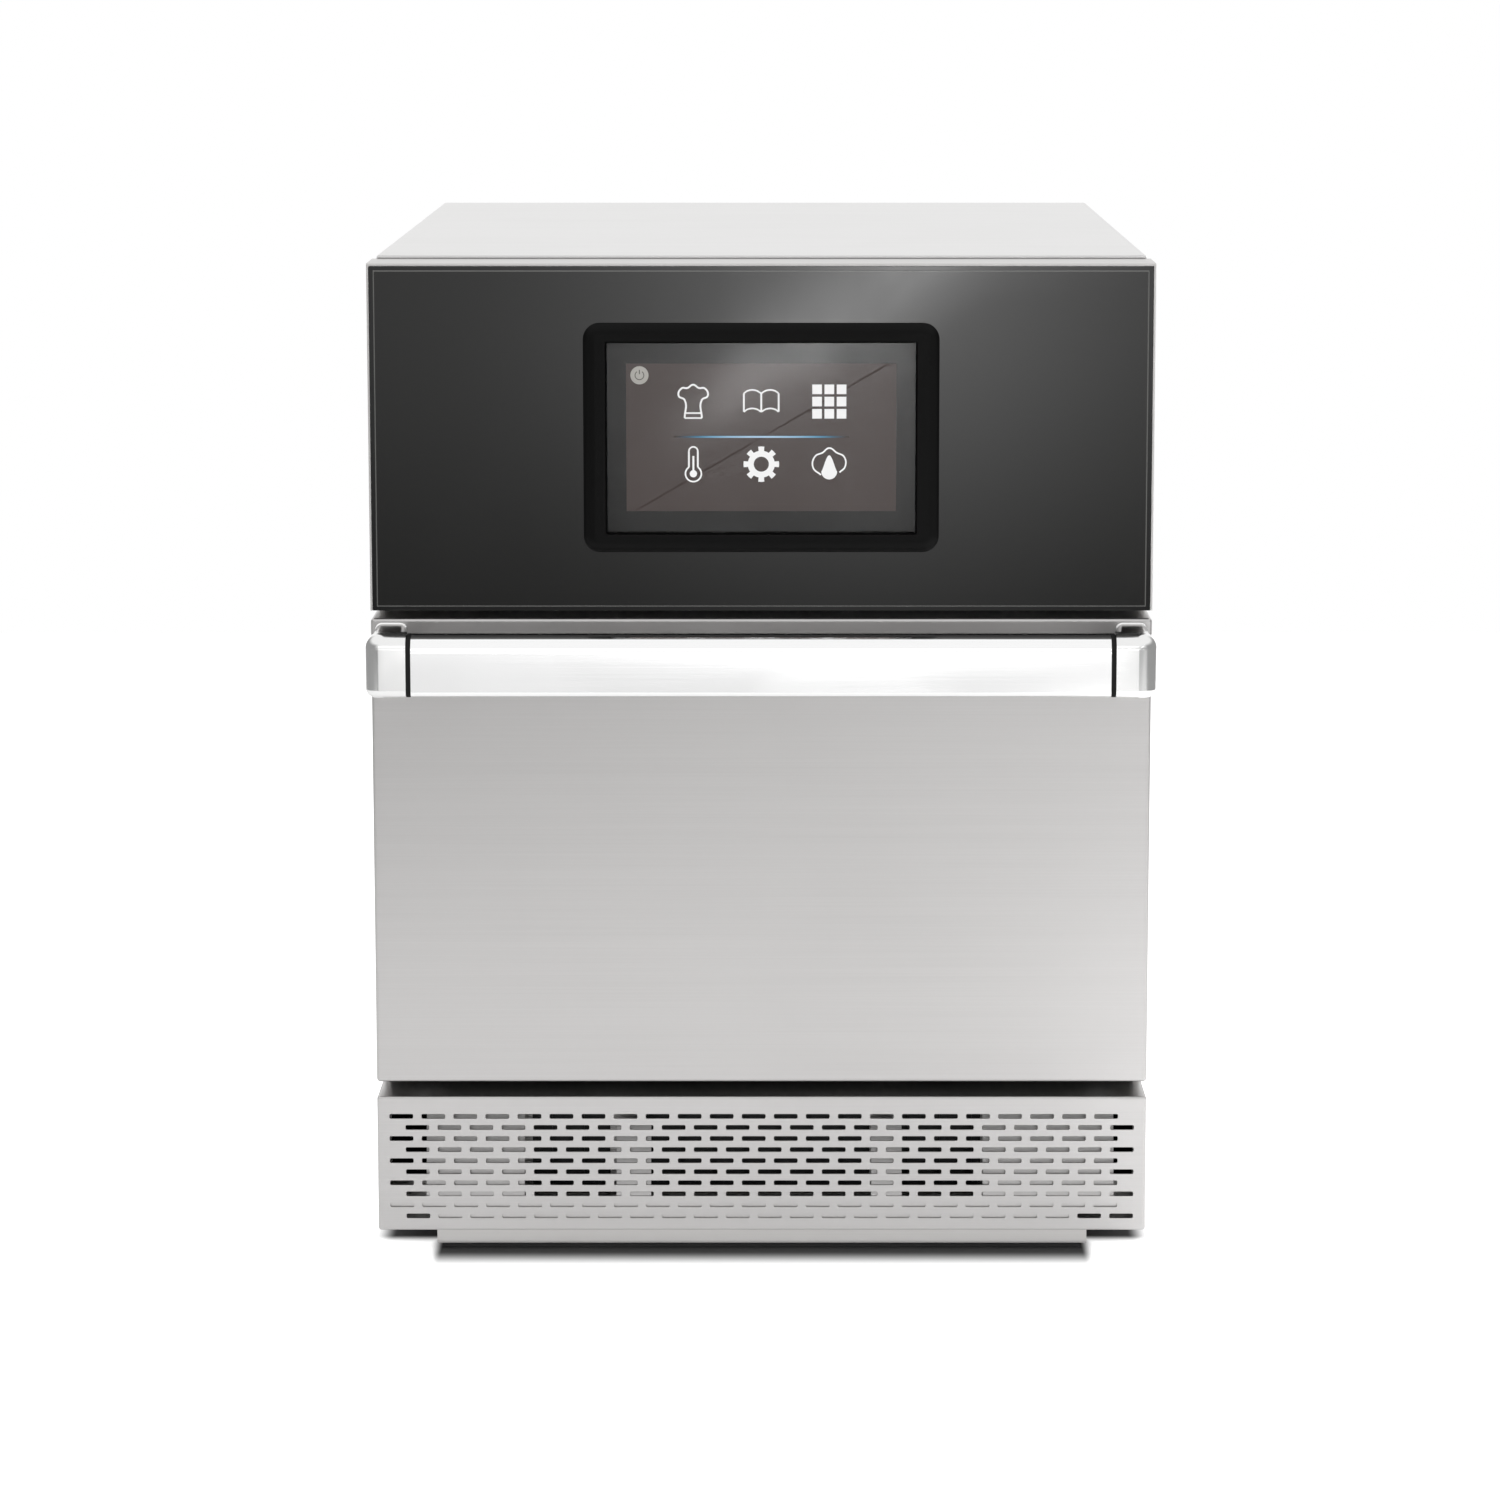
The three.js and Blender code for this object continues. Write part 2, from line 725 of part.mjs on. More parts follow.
// Baffle: the wall in front of the fan, with a grid of intake holes.
function rearBaffle() {
  const half = cavityHalf - seam;
  const reach = baffleHole / 2;
  const holes = [];
  for (let row = 0; row < baffleHoles; row++) {
    for (let column = 0; column < baffleHoles; column++) {
      const x = (column - (baffleHoles - 1) / 2) * baffleHolePitch;
      const z = cavityHeight / 2 + (row - (baffleHoles - 1) / 2) * baffleHolePitch;
      holes.push([x - reach, x + reach, z - reach, z + reach]);
    }
  }
  const top = cavityHeight - jetDrop - seam;
  return uprightPlate(-half, half, seam, top, holes, baffleY, baffleY + sheet);
}

function rackRail(side) {
  const outer = cavityHalf - seam;
  return block(
    side * outer,
    side * (outer - railBodyWidth),
    rackInset,
    baffleY - rackInset,
    rackRise,
    rackRise + railBodyHeight,
  );
}

function cookPlate() {
  const half = plateWidth / 2;
  const front = rackInset;
  const back = baffleY - rackInset;
  const low = rackRise + railBodyHeight + seam;
  return level(rounded(-half, half, front, back, plateRound), low, low + plateThick);
}

// Heater: one turn of sheathed element round the fan, with both ends led out of the back.
function heaterCoil() {
  const middle = cavityHeight / 2;
  const y = fanY - fanDepth / 2;
  const back = cavityDepth + sheet + seam + insulationThick;
  const tilt = Math.asin(coilGap / coilRadius);
  const start = -Math.PI / 2 + tilt;
  const turn = 2 * Math.PI - 2 * tilt;
  const onRing = (share) => {
    const angle = start + turn * share;
    return new THREE.Vector3(
      coilRadius * Math.cos(angle),
      y,
      middle + coilRadius * Math.sin(angle),
    );
  };
  const ring = Array.from({ length: coilSteps }, (_, step) => onRing(step / (coilSteps - 1)));
  const [first, last] = [ring[0], ring[ring.length - 1]];
  const lead = (point) => [
    new THREE.Vector3(point.x, back, middle - coilRadius),
    new THREE.Vector3(point.x, cavityDepth - overrun, middle - coilRadius),
    new THREE.Vector3(point.x, y + coilRound, middle - coilRadius),
  ];
  const points = [...lead(first), ...ring.slice(2, -2), ...lead(last).reverse()];
  const path = new THREE.CatmullRomCurve3(points, false, "centripetal");
  const section = new THREE.Shape();
  for (let corner = 0; corner < coilSides; corner++) {
    const angle = (corner / coilSides) * 2 * Math.PI;
    const point = [coilTube * Math.cos(angle), coilTube * Math.sin(angle)];
    if (corner === 0) section.moveTo(...point);
    else section.lineTo(...point);
  }
  section.closePath();
  const options = { extrudePath: path, steps: coilSteps, bevelEnabled: false };
  return solidOf(new THREE.ExtrudeGeometry(section, options));
}

// Convection fan: a disc with radial blades in front of it and its shaft behind it,
// drawn about its own axis, with Y counted from the back of the disc.
function convectionFan() {
  const disc = rod("y", fanRadius, -fanDisc, 0);
  const hub = rod("y", fanHub, -fanDepth, 0);
  const reach = bulkheadY + sheet + seam + motorBore - overrun - cavityFront - fanY;
  const shaft = rod("y", fanShaft, -fanDisc, reach);
  const blades = Array.from({ length: fanBlades }, (_, blade) => {
    const geometry = new THREE.BoxGeometry(
      fanRadius * (1 - bladeInnerShare),
      fanDepth,
      bladeThick,
    );
    geometry.translate((fanRadius * (1 + bladeInnerShare)) / 2, -fanDepth / 2, 0);
    geometry.rotateY((blade / fanBlades) * 2 * Math.PI);
    return solidOf(geometry);
  });
  const tip = rod("y", fanRadius - sheet, -fanDepth, 0);
  return join(join(...blades).intersect(tip), disc, hub, shaft);
}

// Convection motor: a round motor on a square plate, with a bore for the fan's shaft.
function convectionMotor() {
  const front = bulkheadY + sheet + seam;
  const half = motorPlate / 2;
  const plate = block(
    -half,
    half,
    front,
    front + motorPlateThick,
    cavityMiddle - half,
    cavityMiddle + half,
  );
  const body = rod("y", motorRadius, front, front + motorLength, [0, 0, cavityMiddle]);
  const bore = rod("y", fanShaft + seam, front - overrun, front + motorBore, [0, 0, cavityMiddle]);
  return cut(join(plate, body), bore);
}

// Catalyst: a ceramic block with square channels, over the hole in the cavity's roof.
function catalyst() {
  const low = cavityFloor + cavityHeight + sheet + seam;
  const body = rod("z", catalystRadius, low, low + catalystHeight, [0, stirrerY, 0]);
  const reach = [low - overrun, low + catalystHeight + overrun];
  const half = catalystHole / 2;
  const channels = [];
  for (let row = -1; row <= 1; row++) {
    for (let column = -1; column <= 1; column++) {
      const [x, y] = [column * catalystPitch, stirrerY + row * catalystPitch];
      channels.push(block(x - half, x + half, y - half, y + half, ...reach));
    }
  }
  return cut(body, ...channels);
}

// Exhaust duct: rises from the catalyst, then runs back to the rear panel.
function exhaustDuct() {
  const half = ductWidth / 2;
  const low = cavityFloor + cavityHeight + sheet + 2 * seam + catalystHeight;
  const floor = shelfHeight + sheet + seam;
  const top = floor + ductHeight;
  const front = stirrerY - half;
  const back = rearPanelY - seam;
  const outer = join(
    block(-half, half, front, front + ductWidth, low, top),
    block(-half, half, front, back, floor, top),
  );
  const inside = half - ductWall;
  const [innerFront, innerTop] = [front + ductWall, top - ductWall];
  const innerBack = front + ductWidth - ductWall;
  const inner = join(
    block(-inside, inside, innerFront, innerBack, low - overrun, innerTop),
    block(-inside, inside, innerFront, back + overrun, floor + ductWall, innerTop),
  );
  return cut(outer, inner);
}

// Waveguide: a rectangular tube under the cavity, with a round mouth under the stirrer,
// a hole for the stirrer's shaft and one for each magnetron's antenna.
function waveguide() {
  const half = guideWidth / 2;
  const tube = block(-half, half, guideFrontY, guideBackY, guideBottom, guideTop);
  const inside = block(
    -half + sheet,
    half - sheet,
    guideFrontY + sheet,
    guideBackY - sheet,
    guideBottom + sheet,
    guideTop - sheet,
  );
  const centre = [0, stirrerY, 0];
  const mouth = rod("z", half - 2 * sheet, guideTop - sheet - overrun, guideTop + overrun, centre);
  const shaft = rod("z", stirrerShaft + seam, guideBottom - overrun, guideTop, centre);
  const antennas = rod("x", antennaRadius + seam, -half - overrun, half + overrun, antennaAt());
  return cut(tube, inside, mouth, shaft, antennas);
}

function antennaAt() {
  return [0, magnetronY + magnetronDepth / 2, (guideBottom + guideTop) / 2];
}

// Magnetron: a finned body beside the waveguide, with its antenna reaching in.
function magnetron(side) {
  const near = guideWidth / 2 + seam;
  const far = near + magnetronWidth;
  const low = guideTop - magnetronHeight;
  const back = magnetronY + magnetronDepth;
  const body = block(side * near, side * far, magnetronY, back, low, guideTop);
  const slotFrom = side * (far - finCut);
  const slotTo = side * (far + overrun);
  const fins = Array.from({ length: finCount }, (_, fin) => {
    const y = magnetronY + ((fin + 1) * magnetronDepth) / (finCount + 1);
    const [y0, y1] = [y - finSlot / 2, y + finSlot / 2];
    return block(slotFrom, slotTo, y0, y1, low - overrun, guideTop - finSlot);
  });
  const reach = [side * (near + finSlot), side * (near - antennaReach)].sort((a, b) => a - b);
  const [, y, z] = antennaAt();
  return join(cut(body, ...fins), rod("x", antennaRadius, ...reach, [0, y, z]));
}

// Stirrer: two crossed blades on a shaft, turned by a small motor under the waveguide.
function stirrer() {
  const z = cavityFloor - stirrerDrop;
  const half = stirrerBladeWidth / 2;
  const reach = Math.sqrt(stirrerRadius ** 2 - half ** 2);
  const blades = join(
    block(-reach, reach, -half, half, z, z + stirrerBladeHeight),
    block(-half, half, -reach, reach, z, z + stirrerBladeHeight),
  );
  const low = guideBottom - seam - stirrerMotorBore + overrun;
  return join(blades, rod("z", stirrerShaft, low, z + stirrerBladeHeight * 2));
}

function stirrerMotor() {
  const top = guideBottom - seam;
  const centre = [0, stirrerY, 0];
  const body = rod("z", stirrerMotorRadius, top - stirrerMotorHeight, top, centre);
  return cut(body, rod("z", stirrerShaft + seam, top - stirrerMotorBore, top + overrun, centre));
}

function stirrerCover() {
  return rod("z", coverRadius, seam, seam + coverPlate, [0, stirrerY - cavityFront, 0]);
}

// Transformer: a laminated core with its winding standing proud at both ends.
function transformer(side) {
  const x = side * transformerX;
  const half = coreWidth / 2;
  const back = transformerY + coreDepth;
  const core = block(x - half, x + half, transformerY, back, panTop, panTop + coreHeight);
  const reach = half - windingInset;
  const winding = block(
    x - reach,
    x + reach,
    transformerY - windingProud,
    back + windingProud,
    panTop + windingInset,
    panTop + coreHeight - windingInset,
  );
  return join(core, winding);
}

// Capacitor: an oval can with two terminals.
function capacitor(side) {
  const round = capacitorDepth / 2;
  const x = side * transformerX;
  const half = capacitorWidth / 2;
  const back = capacitorY + capacitorDepth;
  const can = rounded(x - half, x + half, capacitorY, back, round - seam);
  const top = panTop + capacitorHeight;
  const terminals = sides.map(([, end]) => {
    const at = [x + (end * half) / 2, capacitorY + round, 0];
    return rod("z", terminalRadius, top - overrun, top + terminalHeight, at, jetSides);
  });
  return join(level(can, panTop, top), ...terminals);
}

// Cooling fan frame, about the fan's axis: a square frame with a hub on four struts.
function fanFrame() {
  const half = coolerSize / 2;
  const strut = coolerStrut / 2;
  const back = coolerDepth;
  const frame = cut(
    block(-half, half, 0, coolerDepth, -half, half),
    rod("y", coolerBore, -overrun, coolerDepth + overrun),
  );
  const hub = join(
    rod("y", coolerHub, back - coolerHubDepth, back),
    block(-half + overrun, half - overrun, back - coolerHubDepth, back, -strut, strut),
    block(-strut, strut, back - coolerHubDepth, back, -half + overrun, half - overrun),
  );
  const reach = [back - coolerHubDepth - overrun, back + overrun];
  return cut(join(frame, hub), rod("y", rotorPin + seam, ...reach));
}

// Cooling fan rotor, about its axis: leaning blades on a hub, with a pin into the frame.
function fanRotor() {
  const back = coolerDepth - coolerHubDepth - seam;
  const depth = back - rotorFrontInset;
  const hub = rod("y", rotorHub, rotorFrontInset, back);
  const pin = rod("y", rotorPin, back - overrun, coolerDepth - seam);
  const blades = Array.from({ length: rotorBlades }, (_, blade) => {
    const geometry = new THREE.BoxGeometry(rotorRadius, depth * 2, rotorBladeThick);
    geometry.rotateX(rotorBladeLean);
    geometry.translate(rotorRadius / 2, (rotorFrontInset + back) / 2, 0);
    geometry.rotateY((blade / rotorBlades) * 2 * Math.PI);
    return solidOf(geometry);
  });
  const space = rod("y", rotorRadius, rotorFrontInset + seam, back - seam);
  return join(join(...blades).intersect(space), hub, pin);
}

// Air filter: a flat panel behind the air windows, with grooves across its front.
function airFilter() {
  const half = filterWidth / 2;
  const front = frameBack + seam;
  const top = panTop + filterHeight + windowLow;
  const panel = block(-half, half, front, front + filterThick, panTop, top);
  const reach = filterGroove / 2;
  const bottom = front + filterThick / 2;
  const [low, high] = [panTop + windowLow, panTop + filterHeight];
  const grooves = Array.from({ length: filterGrooves }, (_, groove) => {
    const x = -half + ((groove + 1) * filterWidth) / (filterGrooves + 1);
    return block(x - reach, x + reach, front - overrun, bottom, low, high);
  });
  return cut(panel, ...grooves);
}

// Relay board: a circuit board on four standoffs, with blocks for its relays.
function relayBoard() {
  const foot = shelfHeight + sheet + seam;
  const low = foot + standoff;
  const [halfX, halfY] = [relayWidth / 2, relayDepth / 2];
  const middleY = relayY + halfY;
  const top = low + boardThick;
  const board = block(relayX - halfX, relayX + halfX, relayY, relayY + relayDepth, low, top);
  const posts = [];
  for (const [, side] of sides) {
    for (const [, end] of sides) {
      const x = relayX + side * (halfX - standoffRadius * 2);
      const y = middleY + end * (halfY - standoffRadius * 2);
      posts.push(rod("z", standoffRadius, foot, top, [x, y, 0], jetSides));
    }
  }
  const half = relayBlock / 2;
  const blocks = relayShares.map(([across, along]) => {
    const x = relayX + across * relayWidth;
    const y = middleY + along * relayDepth;
    return block(x - half, x + half, y - half, y + half, low, top + relayBlockHeight);
  });
  return join(board, ...posts, ...blocks);
}

// Line filter: a box with two screw feet, near the gland.
function lineFilter() {
  const [halfX, halfY] = [filterBoxWidth / 2, filterBoxDepth / 2];
  const foot = halfX + filterBoxFoot;
  const [front, back] = [filterBoxY - halfY, filterBoxY + halfY];
  return join(
    block(filterBoxX - halfX, filterBoxX + halfX, front, back, panTop, panTop + filterBoxHeight),
    block(filterBoxX - foot, filterBoxX + foot, front, back, panTop, panTop + sheet),
  );
}

// Cable gland: a bush through the rear panel, with a flange and a nose outside.
function cableGland() {
  const outside = rearPanelY + sheet + seam;
  const body = join(
    rod("y", glandRadius, rearPanelY - glandInside, outside + glandNose),
    rod("y", glandFlange, outside, outside + glandFlangeThick),
  );
  const bore = rod("y", glandBore, rearPanelY - glandInside - overrun, outside + glandNose + overrun);
  return cut(body, bore);
}

// The fascia's pieces count Z from its lower edge.
// Fascia tray: holds the glass in a shallow recess that is open below.
function fasciaTray() {
  const half = halfWidth;
  const back = moduleDepth - seam;
  const shelf = glassThick + seam;
  const tray = block(-half, half, 0, back, 0, fasciaHeight);
  const inside = block(
    -half + sheet,
    half - sheet,
    shelf + sheet,
    back + overrun,
    sheet,
    fasciaHeight - sheet,
  );
  const rim = half - fasciaRim;
  const recess = block(-rim, rim, -overrun, shelf, -overrun, fasciaHeight - sheet);
  const screenHalf = screenWidth / 2;
  const window = block(
    -screenHalf,
    screenHalf,
    0,
    shelf + sheet + overrun,
    screenRise,
    screenRise + screenHeight,
  );
  return cut(tray, inside, recess, window);
}

// Control glass: black glass with an opening for the touch screen.
function controlGlass() {
  const half = halfWidth - fasciaRim - seam;
  const top = fasciaHeight - sheet - seam;
  const opening = upright(screenOutline(0), -overrun, glassThick + overrun);
  return cut(block(-half, half, 0, glassThick, 0, top), opening);
}

// The screen's opening as an outline, drawn in by the given clearance.
function screenOutline(clearance) {
  const half = screenWidth / 2 - clearance;
  const low = screenRise + clearance;
  const high = screenRise + screenHeight - clearance;
  return rounded(-half, half, low, high, screenRound - clearance);
}

// Screen bezel: a rounded frame that stands on the glass.
function screenBezel() {
  const half = bezelWidth / 2;
  const frame = rounded(-half, half, bezelRise, bezelRise + bezelHeight, bezelRound);
  const front = -bezelProud - seam;
  const opening = upright(screenOutline(0), front - overrun, overrun);
  return cut(upright(frame, front, -seam), opening);
}

// Touch glass: fills the bezel and the opening in the fascia's glass.
function touchGlass() {
  return upright(screenOutline(seam), touchSunk - touchThick, touchSunk);
}

function lcdPanel() {
  const half = lcdWidth / 2;
  const front = touchSunk + seam;
  const low = screenRise + (screenHeight - lcdHeight) / 2;
  return block(-half, half, front, front + lcdThick, low, low + lcdHeight);
}

// Control board: a circuit board behind the screen, with chips on its back.
function controlBoard() {
  const half = boardWidth / 2;
  const front = touchSunk + 2 * seam + lcdThick;
  const low = screenRise + (screenHeight - boardHeight) / 2;
  const board = block(-half, half, front, front + boardThick, low, low + boardHeight);
  const chips = chipShares.map(([across, up]) => {
    const x = across * boardWidth;
    const z = low + boardHeight / 2 + up * boardHeight;
    const [chipX, chipZ] = [chipWidth / 2, chipLength / 2];
    return block(x - chipX, x + chipX, front, front + boardThick + chipHeight, z - chipZ, z + chipZ);
  });
  return join(board, ...chips);
}

// The door's pieces count Z from its lower edge.
// Door skin: a folded pan with two pairs of hinge lugs at its lower corners.
function doorSkin() {
  const half = halfWidth;
  const pan = cut(
    block(-half, half, 0, foldDepth, 0, doorHeight),
    block(-half + sheet, half - sheet, sheet, foldDepth + overrun, sheet, doorHeight - sheet),
  );
  const notchHalf = hingeNotchWidth / 2;
  const notches = sides.map(([, side]) => {
    const x = side * hingeX;
    return block(x - notchHalf, x + notchHalf, sheet, foldDepth + overrun, -overrun, sheet + overrun);
  });
  const lugs = [];
  for (const [, side] of sides) {
    for (const [, cheek] of sides) {
      const near = side * hingeX + cheek * (armThick / 2 + seam);
      const far = near + cheek * lugThick;
      lugs.push(block(near, far, 0, hingeY + lugReach, sheet, hingeRise + lugRise));
    }
  }
  const bores = sides.map(([, side]) => {
    const reach = armThick + lugThick + overrun;
    const x = side * hingeX;
    return rod("x", pinRadius + seam, x - reach, x + reach, [0, hingeY, hingeRise]);
  });
  return cut(join(cut(pan, ...notches), ...lugs), ...bores);
}

// Door inner panel: a flat panel with the choke ring that shuts the microwaves in,
// and two probes that reach the door switches through the front frame.
function doorInnerPanel() {
  const half = halfWidth - sheet - seam;
  const top = doorHeight - sheet - seam;
  const panel = block(-half, half, innerPanelY, innerPanelY + sheet, innerPanelRise, top);
  const inner = sealInset + sealWidth + chokeGap;
  const choke = mouthRing(inner, inner + chokeWidth, innerPanelY, chokeBackY);
  const probeTop = doorHeight - probeDrop;
  const probes = sides.map(([, side]) => {
    const x = side * cavityHalf;
    const reach = probeWidth / 2;
    return block(x - reach, x + reach, innerPanelY, probeReach, probeTop - probeHeight, probeTop);
  });
  return join(panel, choke, ...probes);
}

function doorInsulation() {
  const half = halfWidth - sheet - seam;
  const top = doorHeight - sheet - seam;
  return block(-half, half, sheet + seam, innerPanelY - seam, innerPanelRise, top);
}

function doorSeal() {
  const front = innerPanelY + sheet + seam;
  return mouthRing(sealInset, sealInset + sealWidth, front, moduleDepth - seam);
}

// Handle bar and gaskets: a flat section with rounded front edges, along X.
function handleSection(length) {
  const front = -handleReach;
  const back = front + barDepth;
  const half = handleHeight / 2;
  const shape = new THREE.Shape();
  shape.moveTo(back, -half);
  shape.lineTo(back, half);
  shape.absarc(front + barRound, half - barRound, barRound, Math.PI / 2, Math.PI);
  shape.absarc(front + barRound, barRound - half, barRound, Math.PI, Math.PI * 1.5);
  shape.closePath();
  const options = { depth: length, bevelEnabled: false, curveSegments: arcSteps };
  const geometry = new THREE.ExtrudeGeometry(shape, options);
  geometry.translate(0, 0, -length / 2);
  geometry.rotateX(Math.PI / 2);
  geometry.rotateZ(Math.PI / 2);
  return solidOf(geometry);
}

// Handle end, for the right side: a rounded block in line with the bar, and an arm back
// to the door. X counts from the gasket outwards, and Z from the middle of the handle.
function handleEnd() {
  const front = -handleReach;
  const back = front + barDepth;
  const armOuter = endWidth - armOuterInset;
  const shape = new THREE.Shape();
  shape.moveTo(0, front + barRound);
  shape.absarc(barRound, front + barRound, barRound, Math.PI, Math.PI * 1.5);
  shape.absarc(endWidth - endRound, front + endRound, endRound, -Math.PI / 2, 0);
  shape.lineTo(endWidth, back);
  shape.lineTo(armOuter, back + armFillet);
  shape.lineTo(armOuter, -seam);
  shape.lineTo(armInset, -seam);
  shape.absarc(armInset - armFillet, back + armFillet, armFillet, 0, -Math.PI / 2, true);
  shape.lineTo(0, back);
  shape.closePath();
  const half = handleHeight / 2 + endExtra;
  return level(shape, -half, half);
}

// Hinge bracket: a flange on the front frame, an arm into the door's notch and the pin.
function hingeBracket(side) {
  const x = side * hingeX;
  const z = doorBottom + hingeRise;
  const back = moduleDepth - seam;
  const armHalf = armThick / 2;
  const flangeX = bracketFlangeWidth / 2;
  const flangeZ = bracketFlangeHeight / 2;
  const arm = join(
    rod("x", armRadius, x - armHalf, x + armHalf, [0, hingeY, z]),
    block(x - armHalf, x + armHalf, hingeY, back, z - armRadius, z + armRadius),
  );
  const flange = block(
    x - flangeX,
    x + flangeX,
    back - bracketFlangeThick,
    back,
    z - flangeZ,
    z + flangeZ,
  );
  const reach = armHalf + seam + lugThick;
  return join(arm, flange, rod("x", pinRadius, x - reach, x + reach, [0, hingeY, z]));
}

// Vent grille: a folded cover with staggered rows of slots. Z counts from its lower edge.
function ventGrille() {
  const half = halfWidth;
  const [reachX, reachZ] = [slotLength / 2, slotHeight / 2];
  const slots = [];
  for (let row = 0; row < slotRows; row++) {
    const z = grilleHeight - slotTopMargin - row * slotRowPitch;
    const shift = ((row % 2 === 0 ? -1 : 1) * slotPitch) / 4;
    for (let slot = 0; slot < slotsInRow; slot++) {
      const x = shift + (slot - (slotsInRow - 1) / 2) * slotPitch;
      slots.push([x - reachX, x + reachX, z - reachZ, z + reachZ]);
    }
  }
  const back = moduleDepth - seam;
  const face = uprightPlate(-half, half, 0, grilleHeight, slots, 0, sheet);
  const walls = cut(
    block(-half, half, 0, back, 0, grilleHeight),
    block(-half + sheet, half - sheet, -overrun, back + overrun, sheet, grilleHeight - sheet),
  );
  return join(face, walls);
}

const oven = new THREE.Group();
oven.position.y = (handleReach - bodyDepth) / 2;

const frontRailY = railRecess;
const rearRailY = bodyDepth - rearRailInset - railDepth;
add(oven, "front_foot_pad", footPad(frontRailY), rubber);
add(oven, "rear_foot_pad", footPad(rearRailY), rubber);
add(oven, "front_foot_rail", footRail(frontRailY), steel);
add(oven, "rear_foot_rail", footRail(rearRailY), steel);
add(oven, "base_pan", basePan(), steel);
add(oven, "top_cover", topCover(), steel);
add(oven, "rear_panel", rearPanel(), steel);
add(oven, "front_frame", frontFrame(), steel);
add(oven, "rear_bulkhead", rearBulkhead(), darkSteel);
add(oven, "electronics_shelf", electronicsShelf(), darkSteel);
add(oven, "convection_motor", convectionMotor(), darkSteel);
add(oven, "catalytic_converter", catalyst(), ceramic);
add(oven, "exhaust_duct", exhaustDuct(), darkSteel);
add(oven, "waveguide", waveguide(), aluminium);
add(oven, "stirrer_motor", stirrerMotor(), darkSteel);
add(oven, "air_filter", airFilter(), blackPlastic);
add(oven, "relay_board", relayBoard(), boardGreen);
add(oven, "line_filter", lineFilter(), darkSteel);
for (const [name, side] of sides) {
  add(oven, name + "_side_panel", sidePanel(side), steel);
  add(oven, name + "_hinge_bracket", hingeBracket(side), darkSteel);
  add(oven, name + "_magnetron", magnetron(side), aluminium);
  add(oven, name + "_transformer", transformer(side), copper);
  add(oven, name + "_capacitor", capacitor(side), aluminium);
  const cooler = new THREE.Group();
  cooler.position.set(side * coolerX, coolerY, panTop + coolerSize / 2);
  add(cooler, name + "_fan_frame", fanFrame(), blackPlastic);
  add(cooler, name + "_fan_rotor", fanRotor(), blackPlastic);
  oven.add(cooler);
}
add(oven, "cable_gland", cableGland(), blackPlastic).position.set(glandX, 0, glandZ);
add(oven, "stirrer", stirrer(), aluminium).position.y = stirrerY;

const cavity = new THREE.Group();
cavity.position.set(0, cavityFront, cavityFloor);
add(cavity, "cavity_liner", cavityLiner(), steel);
add(cavity, "cavity_insulation", cavityInsulation(), mineralWool);
add(cavity, "upper_jet_plate", jetPlate(), steel);
add(cavity, "rear_baffle", rearBaffle(), steel);
add(cavity, "cook_plate", cookPlate(), stone);
add(cavity, "heater_coil", heaterCoil(), darkSteel);
add(cavity, "stirrer_cover", stirrerCover(), ceramic);
for (const [name, side] of sides) {
  add(cavity, name + "_rack_rail", rackRail(side), steel);
}
add(cavity, "convection_fan", convectionFan(), steel).position.set(0, fanY, cavityHeight / 2);
oven.add(cavity);

const fascia = new THREE.Group();
fascia.position.z = fasciaBottom;
add(fascia, "fascia_tray", fasciaTray(), steel);
add(fascia, "control_glass", controlGlass(), blackGlass);
add(fascia, "screen_bezel", screenBezel(), blackPlastic);
add(fascia, "touch_glass", touchGlass(), screenGlass);
add(fascia, "lcd_panel", lcdPanel(), screenGlass);
add(fascia, "control_board", controlBoard(), boardGreen);
oven.add(fascia);

const door = new THREE.Group();
door.position.z = doorBottom;
add(door, "door_skin", doorSkin(), steel);
add(door, "door_inner_panel", doorInnerPanel(), steel);
add(door, "door_insulation", doorInsulation(), mineralWool);
add(door, "door_seal", doorSeal(), rubber);
const handle = new THREE.Group();
handle.position.z = doorHeight - handleDrop - handleHeight / 2;
add(handle, "handle_bar", handleSection(barLength), castMetal);
for (const [name, side] of sides) {
  const gasketLength = gasketThick - 2 * seam;
  const gasketX = side * (barLength / 2 + gasketThick / 2);
  const gasket = handleSection(gasketLength);
  add(handle, name + "_handle_gasket", gasket, rubber).position.x = gasketX;
  const end = add(handle, name + "_handle_end", handleEnd(), castMetal);
  end.position.x = side * (barLength / 2 + gasketThick);
  end.scale.x = side;
}
door.add(handle);
oven.add(door);

const grille = new THREE.Group();
grille.position.z = baseZ;
add(grille, "vent_grille", ventGrille(), steel);
oven.add(grille);

const part = new THREE.Group();
part.add(oven);
export default part;
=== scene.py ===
# A countertop speed oven: stainless body, drop-down door with a full-width handle, black
# glass fascia with a touch screen above it, and a slotted air grille below it.
# Metres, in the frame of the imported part: X to the right, Y to the back, Z up.

import math

